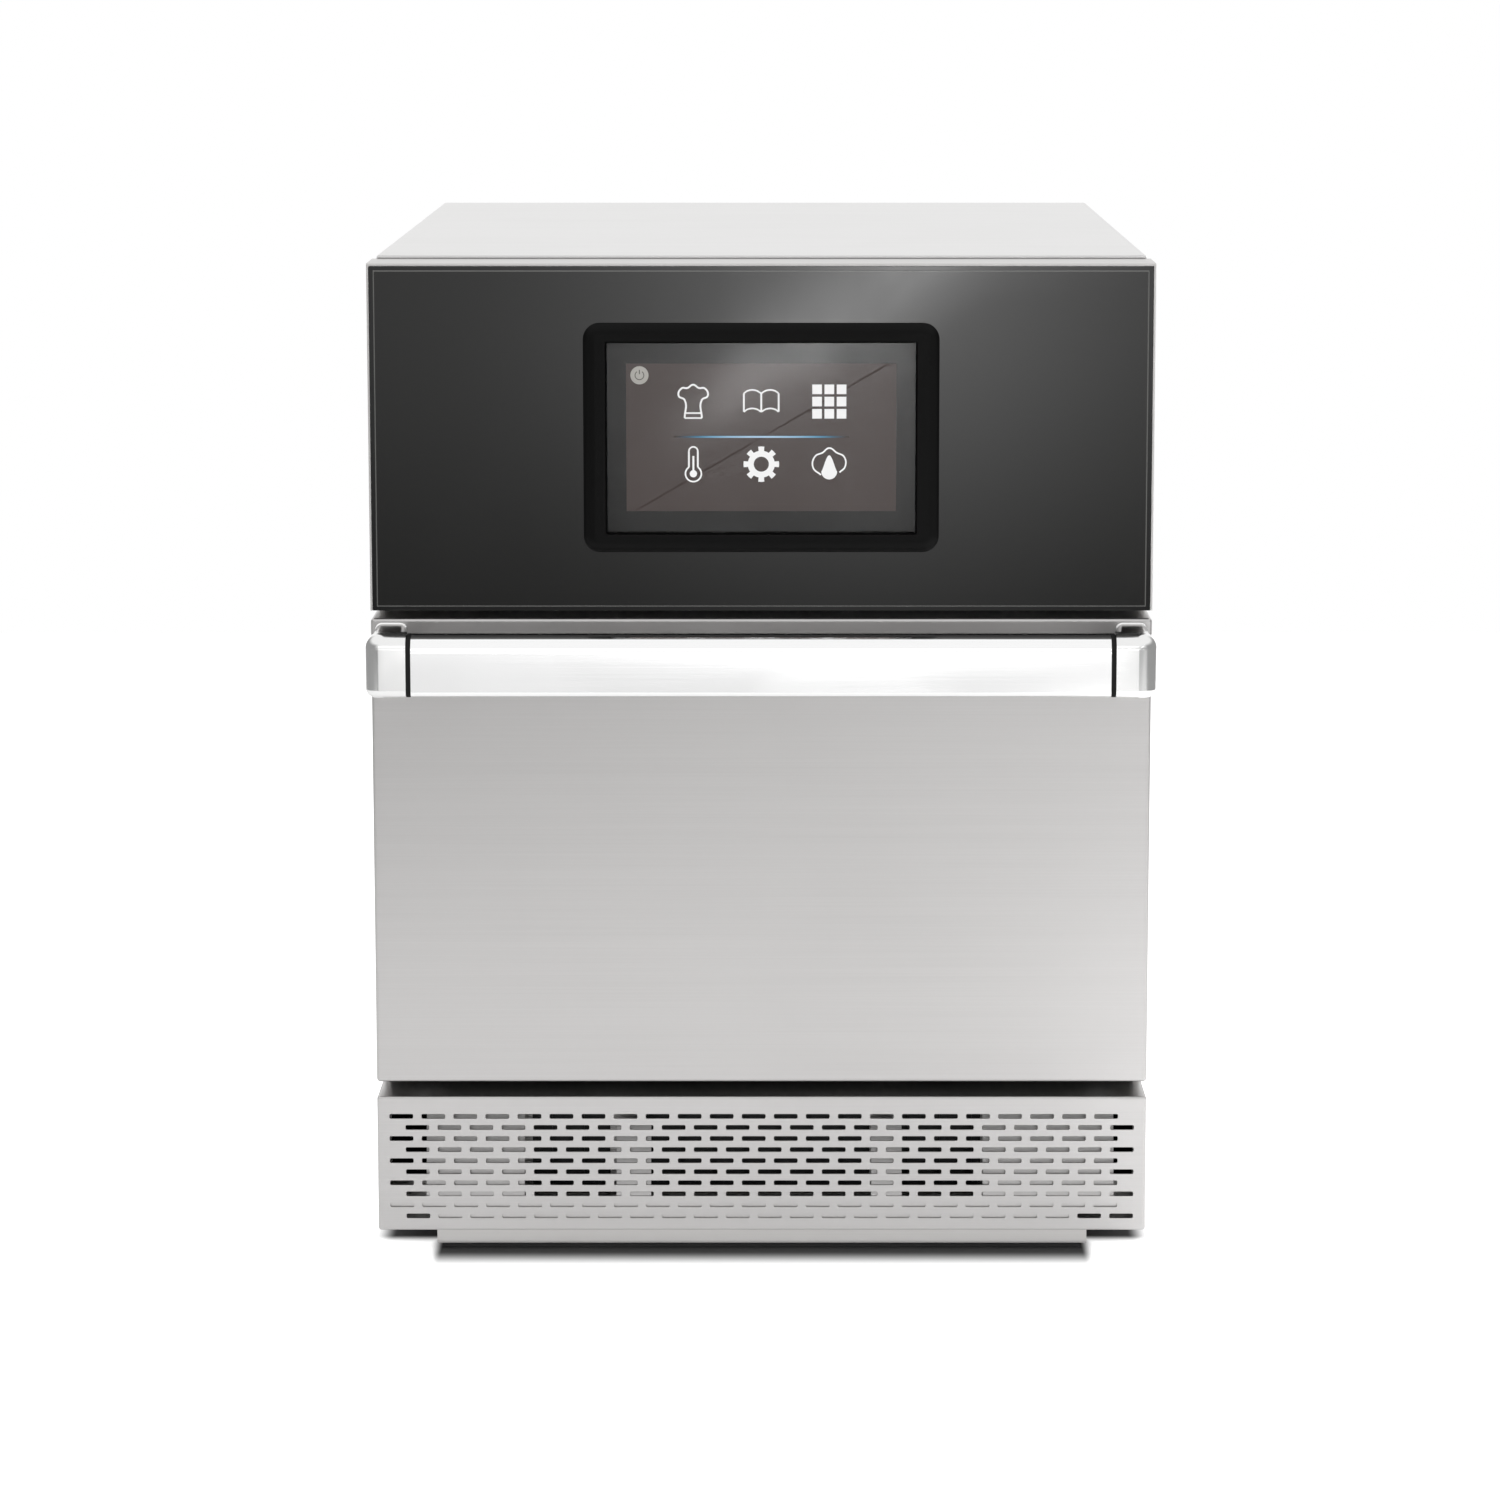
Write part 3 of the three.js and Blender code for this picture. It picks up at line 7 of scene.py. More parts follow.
import bmesh
import bpy
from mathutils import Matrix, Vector


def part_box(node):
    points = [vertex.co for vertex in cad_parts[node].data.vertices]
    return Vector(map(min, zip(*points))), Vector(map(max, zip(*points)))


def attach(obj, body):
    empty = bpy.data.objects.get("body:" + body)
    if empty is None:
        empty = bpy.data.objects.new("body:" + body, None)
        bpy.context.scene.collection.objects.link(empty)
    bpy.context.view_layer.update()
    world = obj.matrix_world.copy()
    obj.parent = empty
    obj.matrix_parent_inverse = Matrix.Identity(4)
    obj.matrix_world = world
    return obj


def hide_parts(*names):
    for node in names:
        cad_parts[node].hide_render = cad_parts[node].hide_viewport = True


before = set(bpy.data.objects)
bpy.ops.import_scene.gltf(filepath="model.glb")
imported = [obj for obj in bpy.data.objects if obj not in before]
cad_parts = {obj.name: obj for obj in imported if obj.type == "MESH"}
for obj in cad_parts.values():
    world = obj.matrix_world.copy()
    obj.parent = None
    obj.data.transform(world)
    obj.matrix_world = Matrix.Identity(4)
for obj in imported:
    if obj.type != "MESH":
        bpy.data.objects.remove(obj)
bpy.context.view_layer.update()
scene = bpy.context.scene


# The photographer's place: a long lens almost three metres in front of the door, a little
# higher than the top cover and pointed down, with the picture shifted.
camera_place = (0.0125, -3.164, 0.8048)
camera_pitch = math.radians(8.724)
camera_lens = 114.61
camera_shift = (-0.0213, -0.05)

bpy.ops.object.camera_add(location=camera_place, rotation=(math.pi / 2 - camera_pitch, 0, 0))
camera = bpy.context.object
camera.data.lens = camera_lens
camera.data.shift_x, camera.data.shift_y = camera_shift
camera.data.clip_start = 0.1
scene.camera = camera
scene.view_settings.view_transform = "Standard"


# The studio floor: plain white and glowing, so that it shows white, with a painted contact
# shadow round the feet and under the body's front, where it is painted darker and glows
# less. It ends in front of the oven, so that the door mirrors the darker room past it.
floor_low = (-1.7, -1.55)
floor_high = (1.7, 2.4)
floor_paint = (0.86, 0.86, 0.86, 1)
floor_glow = 0.85
shadow_paint = 0.085
feet_ahead = 0.008
feet_reach = 0.046
feet_side_squeeze = 5.0  # how much shorter the shadow is at the sides of the feet
body_half = 0.230
body_reach = 0.018
mirror_glow = 0.13
bright_side_glow = 0.36
bright_side = (0.205, 0.25)


def add_node(tree, kind, **values):
    """The outputs of a new node in a tree, or in the tree of a wire. Its settings by their
    names, and its inputs by theirs or as in0, in1, get values or wires."""
    tree = tree.id_data
    made = tree.nodes.new("ShaderNode" + kind)
    for name, value in values.items():
        if hasattr(made, name):
            setattr(made, name, value)
            continue
        numbered = name.startswith("in") and name[2:].isdigit()
        socket = made.inputs[int(name[2:]) if numbered else name.replace("_", " ")]
        if isinstance(value, bpy.types.NodeSocket):
            tree.links.new(value, socket)
        else:
            socket.default_value = value
    return made.outputs


def first_wire(*values):
    """The first wire among some values."""
    return next(value for value in values if isinstance(value, bpy.types.NodeSocket))


def math_node(operation, *values):
    """The result of a Math node on one, two or three values, at least one of them a wire."""
    inputs = {f"in{place}": value for place, value in enumerate(values)}
    return add_node(first_wire(*values), "Math", operation=operation, **inputs)[0]


def plus(a, b):
    return math_node("ADD", a, b)


def minus(a, b):
    return math_node("SUBTRACT", a, b)


def times(a, b):
    return math_node("MULTIPLY", a, b)


def times_plus(a, b, c):
    return math_node("MULTIPLY_ADD", a, b, c)


def smooth_step(value, start, end):
    """Zero below start and one above end, with a soft change between them."""
    ends = {"From_Min": start, "From_Max": end}
    return add_node(value, "MapRange", interpolation_type="SMOOTHSTEP", Value=value, **ends)[0]


def blended(share, first, second):
    """A value between the first and the second."""
    wire = first_wire(share, first, second)
    return add_node(wire, "Mix", Factor=share, in2=first, in3=second)[0]


def outside_span(value, low, high):
    """How far a value lies outside a span."""
    return math_node("MAXIMUM", math_node("MAXIMUM", minus(low, value), minus(value, high)), 0.0)


def off_rectangle(place, low, high, squeeze=1.0):
    """How far a place on the floor is from a rectangle, with its sides' distance squeezed."""
    past_x = times(outside_span(place["X"], low[0], high[0]), squeeze)
    past_y = outside_span(place["Y"], low[1], high[1])
    return math_node("SQRT", plus(times(past_x, past_x), times(past_y, past_y)))


def seen_directly(tree):
    """One for the camera, for mirrors and for what shows through glass, and else zero."""
    path = add_node(tree, "LightPath")
    shown = math_node("MAXIMUM", path["Is Camera Ray"], path["Is Glossy Ray"])
    return math_node("MAXIMUM", shown, path["Is Transmission Ray"])


def new_material(name):
    """An empty material and its Object coordinates."""
    made = bpy.data.materials.new(name)
    made.use_nodes = True
    made.node_tree.nodes.clear()
    return made, add_node(made.node_tree, "TexCoord")["Object"]


floor_middle = [(a + b) / 2 for a, b in zip(floor_low, floor_high)]
floor_size = [b - a for a, b in zip(floor_low, floor_high)]
bpy.ops.mesh.primitive_plane_add(size=1, location=(*floor_middle, 0))
floor = bpy.context.object
floor.name = "studio_floor"
floor.scale = (*floor_size, 1)
bpy.ops.object.transform_apply()

paint, place = new_material("studio_floor")
parts = add_node(place, "SeparateXYZ", Vector=place)
foot_low, foot_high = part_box("front_foot_pad")[0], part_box("rear_foot_pad")[1]
# Painted shadow: near the feet and the body's front the floor glows less and its paint darkens.
shadow_front = (foot_low.x, foot_low.y - feet_ahead)
from_feet = off_rectangle(parts, shadow_front, foot_high, feet_side_squeeze)
body_front = (-body_half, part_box("front_frame")[0].y)
from_body = off_rectangle(parts, body_front, (body_half, foot_high.y))
by_feet = smooth_step(from_feet, 0.0, feet_reach)
lit = math_node("MINIMUM", by_feet, smooth_step(from_body, 0.0, body_reach))
mirrored = times_plus(smooth_step(parts["X"], *bright_side), bright_side_glow, mirror_glow)
glossy = add_node(place, "LightPath")["Is Glossy Ray"]
strength = blended(glossy, times(lit, floor_glow), mirrored)
shaded = blended(math_node("MAXIMUM", lit, glossy), shadow_paint, floor_paint[0])
flat = add_node(place, "BsdfDiffuse", Color=floor_paint)[0]
seen_flat = add_node(place, "BsdfDiffuse", Color=shaded)[0]
glow = add_node(place, "Emission", Color=(1, 1, 1, 1), Strength=strength)[0]
both = add_node(place, "AddShader", in0=seen_flat, in1=glow)[0]
mix = add_node(place, "MixShader", Fac=seen_directly(place), in1=flat, in2=both)[0]
add_node(place, "OutputMaterial", Surface=mix)
floor.data.materials.append(paint)


# The studio's light: an even white room and large soft lamps above, to the left and to the
# right, and one for the handle alone. Metal and glass mirror a white ceiling and back wall,
# grey side walls and a darker front, where a soft window throws a glow and a streak.
room_light = 0.62
front_edge = (0.45, 0.85)
side_wall = (0.25, 0.55)
side_shade = 0.66
ceiling_edge = (0.3, 0.65)
front_shades = [
    (-0.40, 0.50),
    (-0.20, 0.24),
    (-0.135, 0.26),
    (-0.07, 1.05),
    (0.02, 0.45),
    (0.15, 0.40),
    (0.45, 1.2),
]
card_left = (0.050, 0.072)
card_top = (-0.175, -0.16)
card_strength = 0.60
glow_place = (0.019, -0.062)
glow_size = (0.054, 0.058)
glow_strength = 2.0
glow_sill = (-0.158, -0.140)
streak_place = (0.0017, -0.085)
streak_way = (0.763, 0.646)
streak_width = 0.0070
streak_fade = (-0.040, 0.006)
streak_strength = 10.0
ray_count = (260.0, 14.0)
ray_edge = (0.33, 0.62)
lamps = [
    ("overhead_lamp", (0.1, -0.2, 2.6), (0, 0, 0.3), (2.4, 1.8), 26),
    ("left_lamp", (-2.2, -1.6, 1.6), (0, 0, 0.3), (1.2, 1.6), 16),
    ("right_lamp", (1.5, -1.5, 0.9), (0.1, -0.3, 0.25), (0.7, 1.3), 11),
    ("handle_lamp", (-0.35, -1.5, 0.42), (-0.35, -0.35, 0.42), (1.4, 1.1), 2.55),
]


def ramp(value, stops):
    """A brightness read from a list of places and brightnesses, with soft bends."""
    first, last = stops[0][0], stops[-1][0]
    share = add_node(value, "MapRange", Value=value, From_Min=first, From_Max=last)[0]
    made = add_node(value, "ValToRGB", Fac=share)[0]
    made.node.color_ramp.interpolation = "B_SPLINE"
    bends = made.node.color_ramp.elements
    while len(bends) < len(stops):
        bends.new(0.5)
    for bend, (where, bright) in zip(bends, stops):
        bend.position = (where - first) / (last - first)
        bend.color = (bright, bright, bright, 1)
    return made


def bell(value, width):
    """One at zero, falling away softly over the width."""
    ratio = math_node("DIVIDE", value, width)
    return math_node("EXPONENT", times(times(ratio, ratio), -1.0))


def noise(place, scale, detail, **more):
    """Soft random values from zero to one."""
    return add_node(place, "TexNoise", Vector=place, Scale=scale, Detail=detail, **more)[0]


world = bpy.data.worlds.new("studio")
scene.world = world
world.use_nodes = True
tree = world.node_tree
tree.nodes.clear()
toward = add_node(tree, "TexCoord")["Generated"]
toward = add_node(tree, "SeparateXYZ", Vector=toward)
ahead = math_node("MAXIMUM", times(toward["Y"], -1.0), 0.05)
right = math_node("DIVIDE", toward["X"], ahead)
rise = math_node("DIVIDE", toward["Z"], ahead)
wide_glow = times(
    bell(minus(right, glow_place[0]), glow_size[0]),
    bell(minus(rise, glow_place[1]), glow_size[1]),
)
from_x = minus(right, streak_place[0])
from_z = minus(rise, streak_place[1])
across = times_plus(from_x, -streak_way[1], times(from_z, streak_way[0]))
onward = times_plus(from_x, streak_way[0], times(from_z, streak_way[1]))
ray_place = add_node(tree, "CombineXYZ", X=times(across, ray_count[0]), Y=times(onward, ray_count[1]))[0]
rays = smooth_step(noise(ray_place, 1.0, 2.0), *ray_edge)
streak = times(times(bell(across, streak_width), smooth_step(onward, *streak_fade)), rays)
window = times_plus(wide_glow, glow_strength, times(streak, streak_strength))
window = times(window, smooth_step(rise, *glow_sill))
card = times(smooth_step(right, *card_left), minus(1.0, smooth_step(rise, *card_top)))
front_seen = times_plus(card, card_strength, plus(ramp(rise, front_shades), window))
at_side = smooth_step(math_node("ABSOLUTE", toward["X"]), *side_wall)
below_ceiling = minus(1.0, smooth_step(toward["Z"], *ceiling_edge))
rest_seen = times_plus(times(at_side, below_ceiling), -side_shade, 1.0)
room_seen = blended(smooth_step(ahead, *front_edge), rest_seen, front_seen)
mirrored = add_node(tree, "LightPath")["Is Glossy Ray"]
strength = blended(seen_directly(tree), room_light, blended(mirrored, 1.0, room_seen))
light = add_node(tree, "Background", Color=(1, 1, 1, 1), Strength=strength)[0]
add_node(tree, "OutputWorld", Surface=light)

for name, place, target, size, power in lamps:
    bpy.ops.object.light_add(type="AREA", location=place)
    lamp = bpy.context.object
    lamp.name = name
    lamp.data.shape = "RECTANGLE"
    lamp.data.size, lamp.data.size_y = size
    lamp.data.energy = power
    lamp.visible_glossy = name == "handle_lamp"
    aim = Vector(target) - Vector(place)
    lamp.rotation_euler = aim.to_track_quat("-Z", "Y").to_euler()

handle_parts = bpy.data.collections.new("handle_parts")
lamp.light_linking.receiver_collection = handle_parts


# Feet: a box-section steel rail across the front and another across the back, each
# standing on a strip of black rubber, both bolted under the base pan.
rail_wall = 0.002
rail_round = 0.0025
pad_round = 0.0008
pad_groove = 0.0005
steel_colour = (0.62, 0.61, 0.60)
hair = 0.00002  # as near as two places have to be to count as one
relief = 0.0001  # how deep the fine grain of a surface is
steel_wear = (-0.03, 0.04)  # what wear and grain add to a roughness
moulded_wear = (-0.04, 0.05)
least_roughness = 0.03
band_share = 0.35  # bands among the scratches of brushed steel
mark_share = 0.35  # wipe marks among its dullness
off_way = 0.013  # how far the scratches' way leans to the other axes


def only(piece):
    """Leaves one piece selected and active."""
    bpy.ops.object.select_all(action="DESELECT")
    piece.select_set(True)
    bpy.context.view_layer.objects.active = piece


def block(name, low, high, axis=None, radius=0.0, steps=0):
    """A block between two corners, with the edges along an axis rounded if one is given."""
    low, high = Vector(low), Vector(high)
    bpy.ops.mesh.primitive_cube_add(size=1, location=(low + high) / 2)
    piece = bpy.context.object
    piece.name = piece.data.name = name
    piece.scale = high - low
    bpy.ops.object.transform_apply()
    if axis:
        round_edges(piece, radius, steps, along(axis))
    return piece


def slab(name, low, high, front, back, *rounding):
    """A block with the width and height of two corners, from one Y to another."""
    return block(name, (low.x, front, low.z), (high.x, back, high.z), *rounding)


def choose(piece, faces=None, edges=None):
    """Opens a piece for editing with only the faces or edges that pass the test selected."""
    only(piece)
    bpy.ops.object.mode_set(mode="EDIT")
    bpy.ops.mesh.select_mode(type="FACE" if faces else "EDGE")
    bpy.ops.mesh.select_all(action="DESELECT")
    mesh = bmesh.from_edit_mesh(piece.data)
    if faces:
        chosen = [face for face in mesh.faces if faces(face.calc_center_median(), face.normal)]
    else:
        chosen = [edge for edge in mesh.edges if edges(edge.verts[0].co, edge.verts[1].co)]
    for part in chosen:
        part.select_set(True)
    bmesh.update_edit_mesh(piece.data)


def leave_editing():
    bpy.ops.object.mode_set(mode="OBJECT")


def facing(axis, sign=0):
    """A test for the faces square to an axis: all, or only those that look up or down it."""
    place = "xyz".index(axis)
    return lambda middle, normal: abs(normal[place]) > 0.9 and normal[place] * sign >= 0


def at(axis, value):
    """A test for the edges that lie at one value of an axis."""
    place = "xyz".index(axis)
    return lambda a, b: abs(a[place] - value) < hair and abs(b[place] - value) < hair


def along(axis):
    """A test for the straight edges that run along an axis."""
    others = [place for place in range(3) if place != "xyz".index(axis)]
    return lambda a, b: all(abs(a[place] - b[place]) < hair for place in others)


def all_of(*tests):
    """A test that all of some tests have to pass."""
    return lambda a, b: all(test(a, b) for test in tests)


def any_of(*tests):
    """A test that one of some tests has to pass."""
    return lambda a, b: any(test(a, b) for test in tests)


def round_edges(piece, radius, steps, test):
    """Rounds the edges that pass the test."""
    choose(piece, edges=test)
    bpy.ops.mesh.bevel(offset=radius, segments=steps, affect="EDGES", clamp_overlap=True)
    leave_editing()


def bore_through(piece, axis, wall):
    """Makes a tube of a block: both end faces are inset by the wall and bridged."""
    choose(piece, faces=facing(axis))
    bpy.ops.mesh.inset(thickness=wall)
    bpy.ops.mesh.bridge_edge_loops()
    leave_editing()


def modify(piece, kind, **settings):
    """Puts a modifier on a piece and applies it."""
    only(piece)
    change = piece.modifiers.new(kind.lower(), kind)
    for name, value in settings.items():
        setattr(change, name, value)
    bpy.ops.object.modifier_apply(modifier=change.name)


def fit(piece, body, slot, material, *nodes, smooth=35):
    """Finishes a piece: shading, material, body and the nodes that it stands for. Its slot is not used."""
    only(piece)
    bpy.ops.object.shade_smooth_by_angle(angle=math.radians(smooth))
    modify(piece, "WEIGHTED_NORMAL", keep_sharp=True)
    piece.data.materials.clear()
    piece.data.materials.append(material)
    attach(piece, body)
    if nodes:
        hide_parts(*nodes)
    return piece


def shader_group(name, build, **inputs):
    """A node group with these inputs. Its outputs are what a function builds from them."""
    group = bpy.data.node_groups.new(name, "ShaderNodeTree")
    for label, value in inputs.items():
        kind = "NodeSocketVector" if isinstance(value, tuple) else "NodeSocketFloat"
        group.interface.new_socket(label, in_out="INPUT", socket_type=kind).default_value = value
    given = group.nodes.new("NodeGroupInput").outputs
    results = build(*[given[label] for label in inputs])
    for label in results:
        group.interface.new_socket(label, in_out="OUTPUT", socket_type="NodeSocketFloat")
    wanted = group.nodes.new("NodeGroupOutput").inputs
    for label, result in results.items():
        group.links.new(result, wanted[label])
    return group


def belt_scratches(place, stretch):
    """Long fine scratches from the brushing belt, and broad faint bands among them."""
    lines = add_node(place, "VectorMath", operation="MULTIPLY", in0=place, in1=stretch)[0]
    wide = add_node(place, "VectorMath", operation="SCALE", in0=lines, Scale=0.09)[0]
    return {"Scratches": noise(lines, 1, 3), "Bands": noise(wide, 1, 2)}


def cloth_marks(place, scale):
    """Where a cloth has left the surface a little duller, in wide soft patches."""
    return {"Marks": smooth_step(noise(place, scale, 4, Distortion=0.6), 0.42, 0.68)}


def even_grain(place, scale):
    """The even small roughness of moulded, cast or plated surfaces."""
    return {"Grain": noise(place, scale, 3), "Mottle": noise(place, times(scale, 0.03), 4)}


origin = (0, 0, 0)
brushed_grain = shader_group("brushed_grain", belt_scratches, Vector=origin, Stretch=(6, 1100, 1100))
wipe_marks = shader_group("wipe_marks", cloth_marks, Vector=origin, Scale=9.0)
fine_grain = shader_group("fine_grain", even_grain, Vector=origin, Scale=900.0)


def use_group(group, place, **inputs):
    """What a group gives at a place in a material."""
    return add_node(place, "Group", node_tree=group, Vector=place, **inputs)


def colour_between(share, first, second):
    """A colour between the first and the second."""
    return add_node(share, "Mix", data_type="RGBA", Factor=share, in6=first, in7=second)[2]


def tinted(colour, mask, depth):
    """A colour that goes a little darker and lighter with a mask."""
    dark = [part * (1 - depth) for part in colour] + [1]
    light = [min(1, part * (1 + depth)) for part in colour] + [1]
    return colour_between(mask, dark, light)


def varied(mask, low, high):
    """A mask turned into a range of values."""
    return add_node(mask, "MapRange", Value=mask, To_Min=low, To_Max=high)[0]


def raised(height, strength):
    """The normal of a surface with a fine relief."""
    return add_node(height, "Bump", Strength=strength, Distance=relief, Height=height)[0]


def shade(place, **inputs):
    """Gives a material its Principled shader."""
    body = add_node(place, "BsdfPrincipled", **inputs)[0]
    add_node(place, "OutputMaterial", Surface=body)


def brushed_steel(name, colour, roughness, stretch, depth=0.08, bump=0.12):
    """Stainless sheet, brushed along the axis whose stretch is the short one."""
    made, place = new_material(name)
    scratch_way = [1.0 if part == min(stretch) else off_way for part in stretch]
    spaces = {"vector_type": "VECTOR", "convert_from": "OBJECT", "convert_to": "WORLD"}
    grain = use_group(brushed_grain, place, Stretch=stretch)
    mixed = blended(band_share, grain["Scratches"], grain["Bands"])
    dull = blended(mark_share, mixed, use_group(wipe_marks, place)["Marks"])
    shade(
        place,
        Base_Color=tinted(colour, mixed, depth),
        Metallic=1.0,
        Roughness=varied(dull, *[roughness + wear for wear in steel_wear]),
        Anisotropic=0.4,
        Anisotropic_Rotation=0.25,
        Tangent=add_node(place, "VectorTransform", **spaces, Vector=scratch_way)[0],
        Normal=raised(grain["Scratches"], bump),
    )
    return made


def moulded(name, colour, roughness, metallic=0.0, scale=900.0, depth=0.12, bump=0.15, shine=0.5):
    """Plastic, rubber, paint or casting with a fine even grain."""
    made, place = new_material(name)
    grain = use_group(fine_grain, place, Scale=scale)
    dull = blended(0.5, grain["Mottle"], use_group(wipe_marks, place, Scale=22.0)["Marks"])
    shade(
        place,
        Base_Color=tinted(colour, grain["Mottle"], depth),
        Metallic=metallic,
        Roughness=varied(dull, *[max(least_roughness, roughness + wear) for wear in moulded_wear]),
        Specular_IOR_Level=shine,
        Normal=raised(grain["Grain"], bump),
    )
    return made


sideways = (5, 1000, 1000)  # brushed from left to right
backwards = (1000, 5, 1000)  # brushed from front to back
sheet_steel = brushed_steel("sheet_steel", steel_colour, 0.32, sideways)
pad_rubber = moulded("pad_rubber", (0.018, 0.018, 0.018), 0.8, depth=0.2, bump=0.4)

for end in ("front", "rear"):
    rail = block(end + "_support_rail", *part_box(end + "_foot_rail"), "x", rail_round, 3)
    bore_through(rail, "x", rail_wall)
    fit(rail, "cabinet", "stainless", sheet_steel, end + "_foot_rail")
    pad = block(end + "_rubber_strip", *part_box(end + "_foot_pad"), "x", pad_round, 2)
    choose(pad, faces=facing("y"))
    bpy.ops.mesh.inset(thickness=pad_groove)
    bpy.ops.mesh.extrude_region_shrink_fatten(TRANSFORM_OT_shrink_fatten={"value": -pad_groove})
    leave_editing()
    fit(pad, "cabinet", "rubber", pad_rubber, end + "_foot_pad")


# Side panels: 1.5 mm stainless sheet with the front edge folded twice into a hem and the
# top edge folded in under the cover, screwed to the base pan and the rear panel.
side_sheet = 0.0015
hem_depth = 0.012
hem_width = 0.0035
top_flange = 0.018
fold_round = 0.0013
screw_radius = 0.0042
screw_height = 0.00095
screw_inset = 0.014
side_screws = 5
side_steel = brushed_steel("side_steel", steel_colour, 0.32, backwards)
screw_metal = moulded("screw_metal", (0.55, 0.55, 0.54), 0.35, metallic=1.0, depth=0.08)
# The dome and the recess of a screw head: insets in radii, rises in heights.
head_steps = ((0.3, 0.35), (0.2, 0.1), (0.12, -0.55))


def drum(name, radius, depth, middle, axis, sides):
    """A cylinder along an axis, with its place in its mesh."""
    turn = {"x": (0, math.pi / 2, 0), "y": (math.pi / 2, 0, 0), "z": (0, 0, 0)}[axis]
    shape = {"radius": radius, "depth": depth, "vertices": sides}
    bpy.ops.mesh.primitive_cylinder_add(location=middle, rotation=turn, **shape)
    piece = bpy.context.object
    piece.name = piece.data.name = name
    bpy.ops.object.transform_apply()
    return piece


def pan_screw(place, outward):
    """A domed screw head with a recess, facing outward from its place."""
    head = drum("screw", screw_radius, screw_height, (0, 0, 0), "z", 16)
    choose(head, faces=facing("z", 1))
    for width, rise in head_steps:
        bpy.ops.mesh.inset(thickness=screw_radius * width, depth=screw_height * rise)
    leave_editing()
    head.rotation_mode = "QUATERNION"
    head.rotation_quaternion = Vector((0, 0, 1)).rotation_difference(Vector(outward))
    head.location = Vector(place) + Vector(outward) * screw_height / 2
    bpy.ops.object.transform_apply()
    return head


def joined(name, pieces):
    """Several pieces as one object."""
    bpy.ops.object.select_all(action="DESELECT")
    for piece in pieces:
        piece.select_set(True)
    bpy.context.view_layer.objects.active = pieces[0]
    bpy.ops.object.join()
    pieces[0].name = pieces[0].data.name = name
    return pieces[0]


def fit_screws(name, places, outward):
    """Screws at their places, all facing one way, as one piece."""
    heads = joined(name, [pan_screw(place, outward) for place in places])
    fit(heads, "cabinet", "stainless", screw_metal)


def spread(count, low, high):
    """Places evenly spread over a span, half a step in from its ends."""
    return [low + (number + 0.5) / count * (high - low) for number in range(count)]


def split_at(piece, axis, value):
    """Cuts a piece's faces along a plane square to an axis."""
    only(piece)
    bpy.ops.object.mode_set(mode="EDIT")
    bpy.ops.mesh.select_all(action="SELECT")
    normal = [float(letter == axis) for letter in "xyz"]
    bpy.ops.mesh.bisect(plane_co=[value * part for part in normal], plane_no=normal)
    leave_editing()


def pull_faces(piece, test, offset):
    """Extrudes the faces that pass the test by an offset."""
    choose(piece, faces=test)
    bpy.ops.mesh.extrude_region_move(TRANSFORM_OT_translate={"value": offset})
    leave_editing()


for name, side in (("left", -1), ("right", 1)):
    low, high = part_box(name + "_side_panel")
    outer = side * max(abs(low.x), abs(high.x))
    first, last = sorted((outer, outer - side * side_sheet))
    panel = block(name + "_side_sheet", (first, low.y, low.z), (last, high.y, high.z))
    hem_back, flange_low = low.y + hem_depth, high.z - side_sheet
    split_at(panel, "y", hem_back)
    split_at(panel, "z", flange_low)
    hem = all_of(facing("x", -side), lambda middle, normal: middle.y < hem_back)
    pull_faces(panel, hem, (-side * (hem_width - side_sheet), 0, 0))
    flange = all_of(
        facing("x", -side),
        lambda middle, normal: middle.z > flange_low and middle.y > hem_back,
    )
    pull_faces(panel, flange, (-side * (top_flange - side_sheet), 0, 0))
    round_edges(panel, fold_round, 3, at("x", outer))
    fit(panel, "cabinet", "stainless", side_steel, name + "_side_panel")
    heights = spread(side_screws, low.z + screw_inset, high.z - screw_inset)
    depths = spread(side_screws - 1, low.y + screw_inset, high.y - 3 * screw_inset)
    places = [(outer, high.y - screw_inset, z) for z in heights]
    places += [(outer, y, low.z + screw_inset) for y in depths]
    fit_screws(name + "_side_screws", places, (side, 0, 0))


# Top cover: one sheet of the same steel over the whole body, with its back edge folded
# down and screwed to the rear panel's frame. Its colour is painted lighter than the other
# steel, as painted light for the brighter sheen on the top.
cover_gap = 0.0003
cover_flange = 0.014
cover_round = 0.0008
lightened_cover_steel = brushed_steel("lightened_cover_steel", (0.76, 0.755, 0.75), 0.33, sideways)

low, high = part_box("top_cover")
panel_low, panel_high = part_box("left_side_panel")
cover = block("top_sheet", (low.x, low.y, panel_high.z + cover_gap), high)
split_at(cover, "y", high.y - side_sheet)
flange_half = abs(panel_low.x) - top_flange - cover_gap
split_at(cover, "x", -flange_half)
split_at(cover, "x", flange_half)
flange = all_of(
    facing("z", -1),
    lambda middle, normal: middle.y > high.y - side_sheet and abs(middle.x) < flange_half,
)
pull_faces(cover, flange, (0, 0, -cover_flange))
borders = any_of(at("x", low.x), at("x", high.x), at("y", low.y), at("y", high.y))
round_edges(cover, cover_round, 2, all_of(at("z", high.z), borders))
fit(cover, "cabinet", "stainless", lightened_cover_steel, "top_cover")


# Rear panel: stainless sheet let in between the sides, with rows of tall vents for the
# electronics and shorter ones where the exhaust leaves.
vent_width = 0.005
vent_length = 0.046
vent_pitch = 0.013
vent_columns = 11
vent_rows = 2
vent_row_pitch = 0.06
vent_z = 0.47
duct_half = 0.04
exhaust_low = 0.4013
exhaust_high = 0.4423
exhaust_vents = 6
vent_round = vent_width * 0.48
gland_hole = 0.0113
rear_screws = 6
row_screws = 4
row_half = 0.8  # of the panel's half width


def repeat(piece, count, step):
    """Repeats a piece in a row."""
    spacing = {"use_relative_offset": False, "use_constant_offset": True}
    modify(piece, "ARRAY", count=count, constant_offset_displace=step, **spacing)
    return piece


